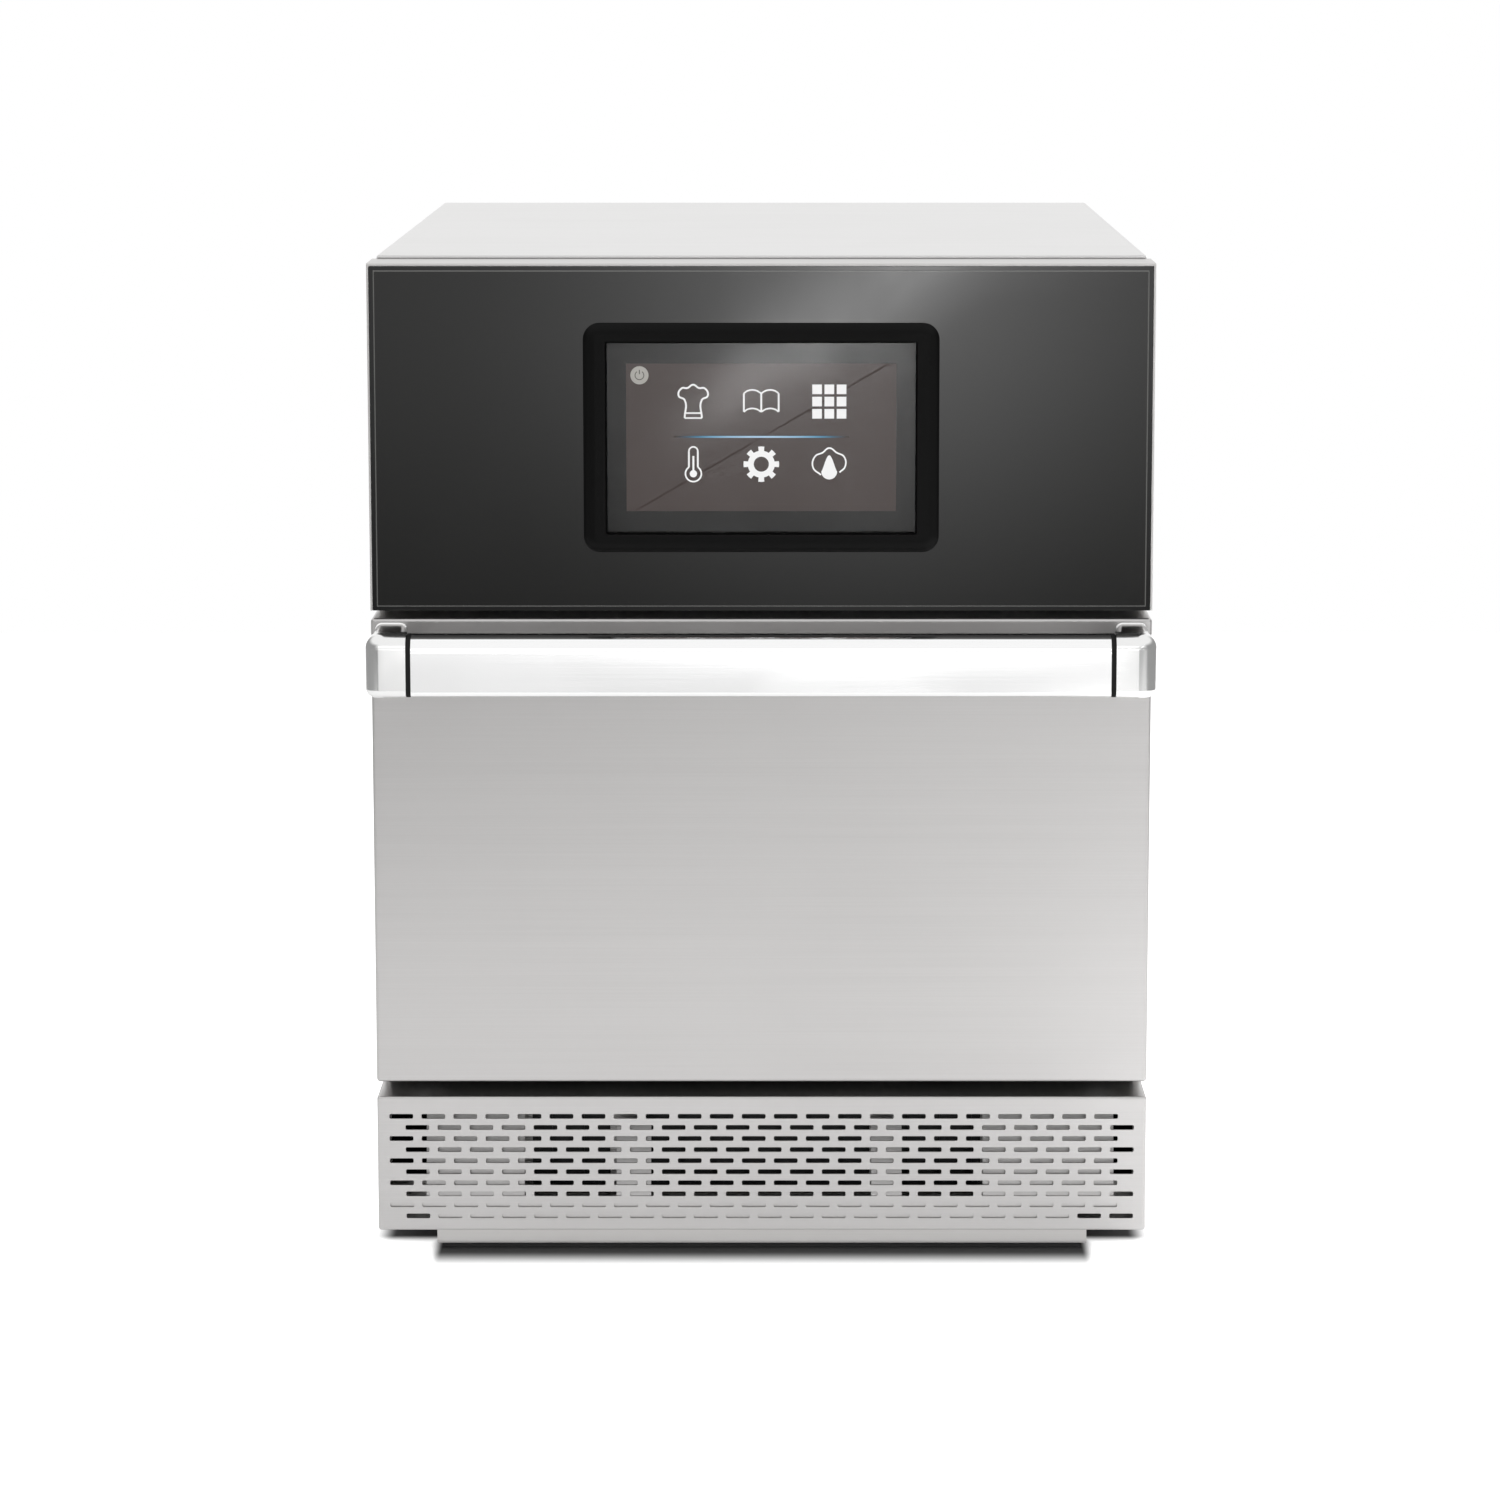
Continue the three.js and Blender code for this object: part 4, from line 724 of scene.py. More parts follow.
def combine(piece, operation, *others):
    """Cuts other pieces out of a piece or unites them with it, and takes them away."""
    for other in others:
        modify(piece, "BOOLEAN", operation=operation, solver="EXACT", object=other)
        bpy.data.objects.remove(other)
    return piece


low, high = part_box("rear_panel")
through = (low.y - 0.005, high.y + 0.005)
past = 0.002  # how far other cutters reach past a sheet


def vent_cutter(x, bottom, top):
    """A slot with round ends, standing through the rear panel."""
    vent_low = (x - vent_width / 2, through[0], bottom)
    vent_high = (x + vent_width / 2, through[1], top)
    return block("vent", vent_low, vent_high, "y", vent_round, 3)


rear = block("rear_sheet", low, high)
cutters = []
for side in (-1, 1):
    bottom = vent_z - vent_length / 2
    vent = vent_cutter(side * (duct_half + vent_pitch / 2), bottom, bottom + vent_length)
    repeat(vent, vent_columns, (side * vent_pitch, 0, 0))
    cutters.append(repeat(vent, vent_rows, (0, 0, vent_row_pitch)))
vent = vent_cutter(-(exhaust_vents - 1) / 2 * vent_pitch, exhaust_low, exhaust_high)
cutters.append(repeat(vent, exhaust_vents, (vent_pitch, 0, 0)))
gland_low, gland_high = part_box("cable_gland")
gland_middle = (gland_low + gland_high) / 2
hole_middle = (gland_middle.x, sum(through) / 2, gland_middle.z)
cutters.append(drum("hole", gland_hole, through[1] - through[0], hole_middle, "y", 48))
combine(rear, "DIFFERENCE", *cutters)
fit(rear, "cabinet", "stainless", sheet_steel, "rear_panel")
edges = (-high.x + screw_inset, high.x - screw_inset)
rows = (low.z + screw_inset, high.z - 2 * screw_inset)
columns = spread(row_screws, -row_half * high.x, row_half * high.x)
places = [(x, high.y, z) for x in edges for z in spread(rear_screws, low.z, high.z)]
places += [(x, high.y, z) for x in columns for z in rows]
fit_screws("rear_screws", places, (0, 1, 0))


# Cable gland: a black nylon bush in the rear panel, with a hexagon flange and a domed
# nut with grip flutes that clamps the mains lead.
nut_radius = 0.011
nut_nose = 0.0085
nut_bore = 0.006
nut_flutes = 18
nut_round = 0.0018
flange_radius = 0.017
flange_thick = 0.004
flange_wall = 0.0055
flange_round = 0.0006
flange_gap = 0.0003
gland_nylon = moulded("gland_nylon", (0.02, 0.02, 0.021), 0.5, depth=0.15)

flange_y = high.y + flange_gap
flange_middle = (gland_middle.x, flange_y + flange_thick / 2, gland_middle.z)
flange = drum("gland_flange", flange_radius, flange_thick, flange_middle, "y", 6)
bore_through(flange, "y", flange_wall)
round_edges(flange, flange_round, 2, at("y", flange_y + flange_thick))
nut = drum("gland_nut", nut_radius, gland_high.y - gland_low.y, gland_middle, "y", 2 * nut_flutes)
bore_through(nut, "y", nut_radius - nut_bore)


def on_the_nose(a, b):
    """The outer edges of the nut's back, away from its bore."""
    return math.hypot(a.x - gland_middle.x, a.z - gland_middle.z) > nut_nose


round_edges(nut, nut_round, 3, all_of(at("y", gland_high.y), on_the_nose))
fit(joined("gland", [flange, nut]), "cabinet", "black_plastic", gland_nylon, "cable_gland")


# Cavity: a box of stainless sheet with a flange round its mouth. The perforated plate
# hangs below its ceiling and the baffle covers the fan, both lifted out for cleaning.
cavity_steel = brushed_steel("cavity_steel", (0.56, 0.55, 0.535), 0.32, sideways)
stone = moulded("cook_stone", (0.42, 0.36, 0.27), 0.85, scale=420.0, depth=0.25, bump=0.5)
white_ceramic = moulded("white_ceramic", (0.78, 0.76, 0.70), 0.45, scale=500.0, depth=0.05)
plate_round = 0.012
plate_edge = 0.0018


def dress(material, *names):
    """Gives CAD nodes their finish, with their meshes as they are."""
    for name in names:
        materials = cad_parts[name].data.materials
        materials.clear()
        materials.append(material)


dress(cavity_steel, "cavity_liner", "upper_jet_plate", "rear_baffle")
dress(cavity_steel, "left_rack_rail", "right_rack_rail", "convection_fan")
dress(white_ceramic, "stirrer_cover", "catalytic_converter")

low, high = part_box("cook_plate")
plate = block("baking_stone", low, high, "z", plate_round, 6)
round_edges(plate, plate_edge, 3, any_of(at("z", low.z), at("z", high.z)))
fit(plate, "cabinet", "cook_stone", stone, "cook_plate")


# The works inside: galvanised chassis sheets, magnetrons and transformers, the fans and
# their motors, the wool round the cavity and the circuit boards, all screwed in place.
galvanised = moulded("galvanised", (0.50, 0.51, 0.52), 0.42, metallic=1.0, scale=260.0, depth=0.18)
motor_paint = moulded("motor_paint", (0.12, 0.125, 0.13), 0.5)
black_plastic = moulded("black_plastic", (0.022, 0.022, 0.023), 0.45)
bright_aluminium = moulded("bright_aluminium", (0.72, 0.73, 0.74), 0.32, metallic=1.0)
iron_core = moulded("iron_core", (0.25, 0.17, 0.11), 0.5, metallic=0.6, depth=0.25)
circuit_board = moulded("circuit_board", (0.03, 0.13, 0.06), 0.4, depth=0.2)
mineral_wool = moulded("mineral_wool", (0.55, 0.50, 0.36), 0.95, scale=300.0, depth=0.3, bump=0.9)
heater_metal = moulded("heater_metal", (0.16, 0.14, 0.13), 0.55, metallic=0.8, depth=0.25)

dress(galvanised, "base_pan", "rear_bulkhead", "electronics_shelf", "exhaust_duct", "line_filter")
dress(galvanised, "left_hinge_bracket", "right_hinge_bracket")
dress(sheet_steel, "front_frame")
dress(motor_paint, "convection_motor", "stirrer_motor")
dress(black_plastic, "left_fan_frame", "right_fan_frame", "left_fan_rotor", "right_fan_rotor", "air_filter")
dress(bright_aluminium, "waveguide", "stirrer", "left_magnetron", "right_magnetron")
dress(bright_aluminium, "left_capacitor", "right_capacitor")
dress(iron_core, "left_transformer", "right_transformer")
dress(circuit_board, "relay_board", "control_board")
dress(mineral_wool, "cavity_insulation", "door_insulation")
dress(heater_metal, "heater_coil")


# Black foam strips on the front wall, put there as painted shade: two darken the gaps over
# and under the door, and one at each side of the air grille darkens what shows through the
# grille's end slots.
foam_thick = 0.0008
foam_clear = 0.0006
foam_round = foam_thick * 0.4
foam_half = 0.2322
left_strip_end = -0.203
right_strip_start = 0.213
strip_rise = 0.021
strip_drop = 0.003
shade_foam = moulded("shade_foam", (0.008, 0.008, 0.008), 0.9, scale=1500.0, depth=0.3, bump=0.6, shine=0.1)

wall_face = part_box("front_frame")[0].y
foam_face = wall_face - foam_thick
grille_low, grille_high = (corner.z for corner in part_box("vent_grille"))
door_low, door_high = (corner.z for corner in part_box("door_skin"))
strips = []
for left, right, bottom, top in (
    (-foam_half, foam_half, grille_high + foam_clear, door_low - foam_clear),
    (-foam_half, foam_half, door_high + foam_clear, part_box("fascia_tray")[0].z - foam_clear),
    (-foam_half, left_strip_end, grille_low + strip_rise, grille_high - strip_drop),
    (right_strip_start, foam_half, grille_low + strip_rise, grille_high - strip_drop),
):
    strip = block("strip", (left, foam_face, bottom), (right, wall_face, top))
    round_edges(strip, foam_round, 2, at("y", foam_face))
    strips.append(strip)
fit(joined("shade_strips", strips), "cabinet", "rubber", shade_foam)


# Fascia tray: folded steel that carries the glass in a shallow recess, so that only its
# thin rim shows at the sides and its flange as a bright line over the glass.
fascia_sheet = 0.0015
fascia_rim = 0.0012
fascia_round = 0.0009
glass_thick = 0.004
touch_gap = 0.0003


def open_pan(name, low, high, sheet, inner):
    """A pan of sheet that is open to the back, with the Y of its inner face."""
    pan = block(name, low, high)
    choose(pan, faces=facing("y", 1))
    bpy.ops.mesh.inset(thickness=sheet)
    bpy.ops.mesh.extrude_region_move(TRANSFORM_OT_translate={"value": (0, inner - high.y, 0)})
    leave_editing()
    return pan


low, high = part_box("fascia_tray")
recess_back = low.y + glass_thick + touch_gap
tray = open_pan("fascia_pan", low, high, fascia_sheet, recess_back + fascia_sheet)
round_edges(tray, fascia_round, 3, all_of(at("z", high.z), at("y", low.y)))
screen_low, screen_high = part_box("touch_glass")
screen_low = screen_low - Vector((touch_gap, 0, touch_gap))
screen_high = screen_high + Vector((touch_gap, 0, touch_gap))
recess = block(
    "recess",
    (low.x + fascia_rim, low.y - past, low.z - past),
    (high.x - fascia_rim, recess_back, high.z - fascia_sheet),
)
window_back = low.y + glass_thick + 2 * past
window = slab("window", screen_low, screen_high, low.y + past / 2, window_back)
combine(tray, "DIFFERENCE", recess, window)
fit(tray, "cabinet", "stainless", sheet_steel, "fascia_tray")


# Control glass: 4 mm toughened glass, black printed on its back, with a round-cornered
# opening for the screen. It is ground a little lower all round, where it meets the tray, and
# a thin lighter line painted just inside that step is a painted highlight on its edge.
glass_border = 0.0024
glass_step = 0.0004
glass_rise = 0.00025
glass_roughness = 0.05
opening_round = 0.0015
glass_colour = (0.0035, 0.0035, 0.003)
painted_highlight_colour = (0.11, 0.11, 0.105, 1)
painted_highlight_width = 0.0007
border_colour = (0.001, 0.001, 0.001, 1)


def opening_cutter():
    """The shape of the screen's opening, through everything in front of the tray."""
    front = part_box("screen_bezel")[0].y - 2 * past
    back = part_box("control_glass")[1].y + 2 * past
    return slab("opening", screen_low, screen_high, front, back, "y", opening_round, 6)


low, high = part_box("control_glass")
pane = slab("control_pane", low, high, low.y + glass_rise, high.y)
choose(pane, faces=facing("y", -1))
bpy.ops.mesh.inset(thickness=glass_border)
bpy.ops.mesh.inset(thickness=glass_step, depth=glass_rise)
leave_editing()
combine(pane, "DIFFERENCE", opening_cutter())

fascia_glass, place = new_material("fascia_glass")
marks = use_group(wipe_marks, place, Scale=7.0)["Marks"]
shown = tinted(glass_colour, use_group(fine_grain, place, Scale=300.0)["Mottle"], 0.2)
parts = add_node(place, "SeparateXYZ", Vector=place)
# A painted highlight: the lighter band just inside the black border stands for the step's edge catching the
# light.
for inset, colour in ((glass_border + painted_highlight_width, painted_highlight_colour), (glass_border, border_colour)):
    past_x = outside_span(parts["X"], low.x + inset, high.x - inset)
    past_z = outside_span(parts["Z"], low.z + inset, high.z - inset)
    shown = colour_between(math_node("GREATER_THAN", plus(past_x, past_z), 0.0), shown, colour)
roughness = varied(marks, glass_roughness, glass_roughness + 0.03)
shade(place, Base_Color=shown, Roughness=roughness, IOR=1.5)
fit(pane, "cabinet", "fascia_glass", fascia_glass, "control_glass", smooth=2)


# Screen bezel: a black moulded frame that stands proud of the glass, with round corners
# and a domed front, clipped through the opening from behind. A strip of black rubber
# seals the screen in its opening.
bezel_round = 0.010
bezel_slopes = ((0.0006, 0.0010), (0.0024, 0.0011), (0.0040, 0.0007))
bezel_plastic = moulded("bezel_plastic", (0.0008, 0.0008, 0.0008), 0.34, scale=1400.0, shine=0.13)
seal_width = 0.0009
seal_thick = 0.0006
seal_gap = 0.0001
screen_rubber = moulded("screen_rubber", (0.0008, 0.0008, 0.0008), 0.6, shine=0.05)

low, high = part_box("screen_bezel")
bezel_front = low.y + sum(rise for width, rise in bezel_slopes)
bezel = slab("bezel", low, high, bezel_front, high.y, "y", bezel_round, 10)
choose(bezel, faces=facing("y", -1))
for width, rise in bezel_slopes:
    bpy.ops.mesh.inset(thickness=width, depth=rise)
leave_editing()
combine(bezel, "DIFFERENCE", opening_cutter())
fit(bezel, "cabinet", "bezel_plastic", bezel_plastic, "screen_bezel", smooth=50)

low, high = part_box("touch_glass")
seal_back = low.y - seal_gap
inset = Vector((seal_gap, 0, seal_gap))
seal_box = (screen_low + inset, screen_high - inset, seal_back - seal_thick, seal_back)
seal = slab("screen_seal", *seal_box, "y", opening_round - seal_gap, 6)
bore_through(seal, "y", seal_width)
fit(seal, "cabinet", "rubber", screen_rubber)


# Touch screen: clear glass in the bezel's opening, over the display. A black printed
# border on its back hides the display's edges.
touch_edge = 0.0003
mask_gap = 0.00004
mask_thick = 0.00012
lit_half = 0.0816
lit_low = 0.4640
lit_high = 0.5536
border_print = moulded("border_print", (0.014, 0.014, 0.0135), 0.04, depth=0.1, bump=0.0, shine=0.42)

corners = ("y", opening_round - touch_gap, 6)
touch = block("touch_pane", low, high, *corners)
round_edges(touch, touch_edge, 1, at("y", low.y))
clear_glass, place = new_material("clear_glass")
pale = tinted((0.97, 0.97, 0.97), use_group(wipe_marks, place, Scale=14.0)["Marks"], 0.02)
shade(place, Base_Color=pale, Roughness=0.0, IOR=1.0, Transmission_Weight=1.0)
fit(touch, "cabinet", "screen_glass", clear_glass, "touch_glass", smooth=20)

mask_y = high.y + mask_gap
mask = slab("screen_border", low, high, mask_y, mask_y + mask_thick, *corners)
lit_corners = (-lit_half, mask_y - past / 2, lit_low), (lit_half, mask_y + past / 2, lit_high)
combine(mask, "DIFFERENCE", block("lit", *lit_corners))
fit(mask, "cabinet", "screen_glass", border_print)


# Display: a flat panel behind the touch glass, lit a warm dark grey, with six plain white
# pictograms in two rows, a thin blue line between the rows and a round power key.
display_black = (0.004, 0.004, 0.004, 1)
panel_round = 0.001
panel_edge = 0.002
picture_colour = (0.062, 0.048, 0.045)
picture_white = (0.93, 0.93, 0.93)
key_colour = (0.40, 0.39, 0.36)
sign_colour = (0.10, 0.095, 0.09)
line_blue = (0.03, 0.24, 0.42, 1)
line_pale = (0.42, 0.60, 0.78, 1)
ink_thick = 0.00012
stroke = 0.00055
sign_stroke = 0.0003
column_pitch = 0.0411
upper_row = 0.5306
lower_row = 0.4926
line_z = 0.5092
line_half = 0.053
line_height = 0.0011
line_end = 0.55
line_pale_end = 0.9
key_place = (-0.0735, 0.5465)
key_radius = 0.0055
sign_radius = key_radius * 0.48
sign_gap = math.radians(35)


def lit(name, colour, **inputs):
    """A lit part of the display, from a function that tells its colour at a place."""
    made, place = new_material(name)
    glow = {"Emission_Color": colour(place), "Emission_Strength": 1.0}
    shade(place, Base_Color=display_black, **glow, **inputs)
    made.cycles.emission_sampling = "NONE"
    return made


def glowing(name, colour):
    """A lit part of one colour, with the faint unevenness of its backlight."""
    def uneven(place):
        return tinted(colour, use_group(wipe_marks, place, Scale=6.0)["Marks"], 0.06)

    return lit(name, uneven, Roughness=0.04, Specular_IOR_Level=0.36)


low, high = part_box("lcd_panel")
panel = block("display_panel", low, high, "y", panel_round, 2)
choose(panel, faces=facing("y", -1))
bpy.ops.mesh.inset(thickness=panel_edge)
leave_editing()
fit(panel, "cabinet", "display", glowing("display_ground", picture_colour), "lcd_panel")

ink_back, ink_front = low.y, low.y - ink_thick


def printed_block(x, z, half_x, half_z):
    """A printed block on the display."""
    return block("ink", (x - half_x, ink_front, z - half_z), (x + half_x, ink_back, z + half_z))


def printed_disc(x, z, radius, sides=24, layers=1):
    """A printed filled circle."""
    return drum("ink", radius, layers * ink_thick, (x, (ink_front + ink_back) / 2, z), "y", sides)


def printed_line(points, thick=stroke):
    """A printed line on the display through points in X and Z."""
    shape = bpy.data.curves.new("ink", "CURVE")
    shape.dimensions = "3D"
    shape.resolution_u = 6
    shape.bevel_depth = thick
    shape.bevel_resolution = 1
    shape.use_fill_caps = True
    spline = shape.splines.new("BEZIER")
    spline.bezier_points.add(len(points) - 1)
    for bend, (x, z) in zip(spline.bezier_points, points):
        bend.co = (x, 0, z)
        bend.handle_left_type = bend.handle_right_type = "AUTO"
    drawn = bpy.data.objects.new("ink", shape)
    scene.collection.objects.link(drawn)
    only(drawn)
    bpy.ops.object.convert(target="MESH")
    drawn = bpy.context.object
    drawn.scale.y = ink_thick / 2 / thick
    drawn.location.y = (ink_front + ink_back) / 2
    bpy.ops.object.transform_apply()
    return drawn


def printed_arc(x, z, radius, start, end, steps=16, thick=stroke):
    """A printed part of a ring."""
    angles = [start + (end - start) * number / steps for number in range(steps + 1)]
    return printed_line([(x + radius * math.cos(a), z + radius * math.sin(a)) for a in angles], thick)


def printed_lines(x, z, lines):
    """Printed lines through points given in millimetres from one place."""
    return [printed_line([(x + a / 1000, z + b / 1000) for a, b in line]) for line in lines]


def hat_pictogram(x, z):
    """A cook's hat: a puffed crown on a straight band."""
    half = [(-5.2, -10.0), (-5.2, 1.0), (-8.8, 3.5), (-7.0, 8.0), (-3.5, 8.2)]
    crown = half + [(0, 10.2)] + [(-a, b) for a, b in reversed(half)]
    return printed_lines(x, z, [crown, [(-5.2, -7.0), (5.2, -7.0)], [(-5.2, -10.0), (5.2, -10.0)]])


def book_pictogram(x, z):
    """An open book: two pages that curve up from the spine."""
    lines = [[(0, -6.2), (0, 5.0)]]
    for side in (-1, 1):
        page = [(0, 5.0), (side * 3.5, 6.8), (side * 8.0, 6.6), (side * 10.5, 5.0)]
        foot = [(a, b - 11.2) for a, b in page]
        lines += [page, foot, [page[-1], foot[-1]]]
    return printed_lines(x, z, lines)


def grid_pictogram(x, z):
    """Nine keys in three rows."""
    pitch, half = 0.0074, 0.0029
    key = printed_block(x - pitch, z - pitch, half, half)
    repeat(key, 3, (pitch, 0, 0))
    return [repeat(key, 3, (0, 0, pitch))]


def thermometer_pictogram(x, z):
    """A thermometer: a tube with a bulb, and a filled column in it."""
    tube, bulb = 0.0027, 0.0048
    centre, top = z - 0.0058, z + 0.0078
    gap = math.asin(tube / bulb)
    neck = centre + bulb * math.cos(gap)
    return [
        printed_arc(x, centre, bulb, math.pi / 2 + gap, 5 * math.pi / 2 - gap),
        printed_arc(x, top, tube, 0, math.pi, steps=8),
        printed_line([(x - tube, neck), (x - tube, top)]),
        printed_line([(x + tube, neck), (x + tube, top)]),
        printed_block(x, z - 0.0005, 0.0006, 0.0055),
        printed_disc(x, centre, 0.0022),
    ]


def gear_pictogram(x, z):
    """A gear wheel with eight teeth and a round hole."""
    root, tooth, hole, teeth, half_tooth = 0.0082, 0.0026, 0.0046, 8, 0.26
    wheel = printed_disc(x, z, root, sides=4 * teeth)

    def on_a_tooth(middle, normal):
        turn = math.atan2(middle.z - z, middle.x - x) / (2 * math.pi) * teeth % 1
        return abs(normal.y) < 0.1 and (turn < half_tooth or turn > 1 - half_tooth)

    choose(wheel, faces=on_a_tooth)
    bpy.ops.mesh.extrude_region_shrink_fatten(TRANSFORM_OT_shrink_fatten={"value": tooth})
    leave_editing()
    return [combine(wheel, "DIFFERENCE", printed_disc(x, z, hole, layers=3))]


def move_points(piece, change):
    """Changes the place of each of a piece's points."""
    only(piece)
    bpy.ops.object.mode_set(mode="EDIT")
    mesh = bmesh.from_edit_mesh(piece.data)
    for vertex in mesh.verts:
        change(vertex.co)
    bmesh.update_edit_mesh(piece.data)
    leave_editing()


def foam_pictogram(x, z):
    """A drop in front of a bank of foam, for the cleaning cycle."""
    left = [(-5.0, -6.5), (-9.8, -2.0), (-8.5, 4.8), (-4.0, 7.0), (0, 9.8)]
    right = [(4.5, 7.0), (9.0, 4.5), (9.6, -1.5), (6.2, -5.0)]
    belly, swell, tip = z - 0.0045, 0.0048, z + 0.0055
    drop = printed_disc(x, belly, swell)

    def taper(point):
        share = (point.z - belly) / swell
        if share > 0:
            point.z = belly + share**2 * (tip - belly)
            point.x = x + (point.x - x) * (1 - 0.25 * share)

    move_points(drop, taper)
    return printed_lines(x, z, [left + right]) + [drop]


drawings = hat_pictogram(-column_pitch, upper_row)
drawings += book_pictogram(0, upper_row)
drawings += grid_pictogram(column_pitch, upper_row)
drawings += thermometer_pictogram(-column_pitch, lower_row)
drawings += gear_pictogram(0, lower_row)
drawings += foam_pictogram(column_pitch, lower_row)
ink = glowing("display_ink", picture_white)
fit(joined("pictograms", drawings), "cabinet", "display", ink)

key = printed_disc(*key_place, key_radius, sides=40)
key.name = key.data.name = "power_key"
fit(key, "cabinet", "display", glowing("display_key", key_colour))
ink_back, ink_front = ink_front, ink_front - ink_thick
open_ring = (math.pi / 2 + sign_gap, 5 * math.pi / 2 - sign_gap)
sign = printed_arc(*key_place, sign_radius, *open_ring, thick=sign_stroke)
stem = printed_block(key_place[0], key_place[1] + sign_radius * 0.75, sign_stroke, sign_radius * 0.5)
fit(joined("power_sign", [sign, stem]), "cabinet", "display", glowing("display_sign", sign_colour))


def fading_blue(place):
    """The line's colour: pale in its middle, and gone at its ends."""
    across = add_node(place, "SeparateXYZ", Vector=place)["X"]
    edge = math_node("DIVIDE", math_node("ABSOLUTE", across), line_half)
    hue = colour_between(minus(1.0, smooth_step(edge, 0.0, line_pale_end)), line_blue, line_pale)
    return colour_between(minus(1.0, smooth_step(edge, line_end, 1.0)), (*picture_colour, 1), hue)


line = printed_block(0, line_z, line_half, line_height / 2)
line.name = line.data.name = "display_line"
fit(line, "cabinet", "display", lit("display_line", fading_blue, Roughness=0.5))


# Door: a pan folded from one sheet of brushed stainless, with small fold radii at all
# four edges and two pairs of lugs welded in its lower corners for the hinge pins.
door_sheet = 0.0015
door_fold = 0.0021
hinge_x = 0.211
hinge_lug = 0.0065
hinge_arm = 0.006
hinge_notch = 0.026
notch_rise = 0.0008
hinge_y = 0.012
hinge_rise = 0.012
lug_reach = 0.006
lug_rise = 0.008
lug_round = 0.005
pin_bore = 0.0043
pin_length = 0.03
# Painted shade: the door's steel is the body's steel painted a little darker, for the dimmer reflections on
# the door's face.
darkened_door_steel = brushed_steel("darkened_door_steel", (0.575, 0.565, 0.56), 0.31, sideways)


def outer_folds(low, high):
    """A test for the edges round a pan's face, and those that run back from its corners."""
    corners = [all_of(at("x", x), at("z", z)) for x in (low.x, high.x) for z in (low.z, high.z)]
    return any_of(at("y", low.y), *corners)


low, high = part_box("door_skin")
skin = open_pan("door_pan", low, high, door_sheet, low.y + door_sheet)
round_edges(skin, door_fold, 4, outer_folds(low, high))
notches = []
lugs = []
hinge_front, hinge_bottom = low.y + door_sheet, low.z + door_sheet
pin_y, pin_z = low.y + hinge_y, low.z + hinge_rise
for x in (-hinge_x, hinge_x):
    notch_low = (x - hinge_notch / 2, hinge_front, low.z - past)
    notch_high = (x + hinge_notch / 2, high.y + past, hinge_bottom + notch_rise)
    notches.append(block("notch", notch_low, notch_high))
combine(skin, "DIFFERENCE", *notches)
fit(skin, "door", "stainless", darkened_door_steel, "door_skin")

upper_back = all_of(along("x"), at("z", pin_z + lug_rise), lambda a, b: a.y > pin_y)
for side in (-1, 1):
    for cheek in (-1, 1):
        near = side * hinge_x + cheek * (hinge_arm / 2 + touch_gap)
        left, right = sorted((near, near + cheek * hinge_lug))
        lug_high = (right, pin_y + lug_reach, pin_z + lug_rise)
        lug = block("lug", (left, hinge_front, hinge_bottom), lug_high)
        round_edges(lug, lug_round, 4, upper_back)
        pin = drum("pin", pin_bore, pin_length, ((left + right) / 2, pin_y, pin_z), "x", 24)
        lugs.append(combine(lug, "DIFFERENCE", pin))
fit(joined("hinge_lugs", lugs), "door", "stainless", sheet_steel)


# Inside of the door: a flat stainless panel with the raised choke ring that keeps the
# microwaves in, a soft seal inside the ring and two probes for the door switches.
liner_sheet = 0.0015
liner_round = 0.0005
choke_inset = 0.013
choke_width = 0.012
choke_clear = 0.0015
choke_round = 0.0018
ring_inset = 0.004
ring_width = 0.008
ring_round = 0.0025
probe_half = 0.005
probe_span = (0.3850, 0.3930)
probe_round = 0.0015
sunk = 0.0003  # how far the ring and the probes reach into the panel
mouth_low = (-0.2, 0.160)
mouth_high = (0.2, 0.355)


def mouth_ring(name, clear, width, front, back):
    """A ring round the cavity's mouth, as far outside it as clear."""
    outer = clear + width
    ring = block(
        name,
        (mouth_low[0] - outer, front, mouth_low[1] - outer),
        (mouth_high[0] + outer, back, mouth_high[1] + outer),
    )
    bore_through(ring, "y", width)
    return ring


low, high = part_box("door_inner_panel")
liner_back = low.y + liner_sheet
inner = slab("door_liner", low, high, low.y, liner_back)
round_edges(inner, liner_round, 2, at("y", liner_back))
choke_back = wall_face - choke_clear
choke = mouth_ring("choke_ring", choke_inset, choke_width, liner_back - sunk, choke_back)
round_edges(choke, choke_round, 3, at("y", choke_back))
probes = []
for x in (-mouth_high[0], mouth_high[0]):
    probe_low = (x - probe_half, liner_back - sunk, probe_span[0])
    probe = block("probe", probe_low, (x + probe_half, high.y, probe_span[1]))
    round_edges(probe, probe_round, 3, at("y", high.y))
    probes.append(probe)
fit(joined("door_liner", [inner, choke, *probes]), "door", "stainless", cavity_steel, "door_inner_panel")

low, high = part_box("door_seal")
seal = mouth_ring("oven_seal", ring_inset, ring_width, low.y, high.y)
round_edges(seal, ring_round, 4, at("y", high.y))
seal_rubber = moulded("seal_rubber", (0.03, 0.03, 0.031), 0.65, depth=0.2, bump=0.3)
fit(seal, "door", "rubber", seal_rubber, "door_seal")


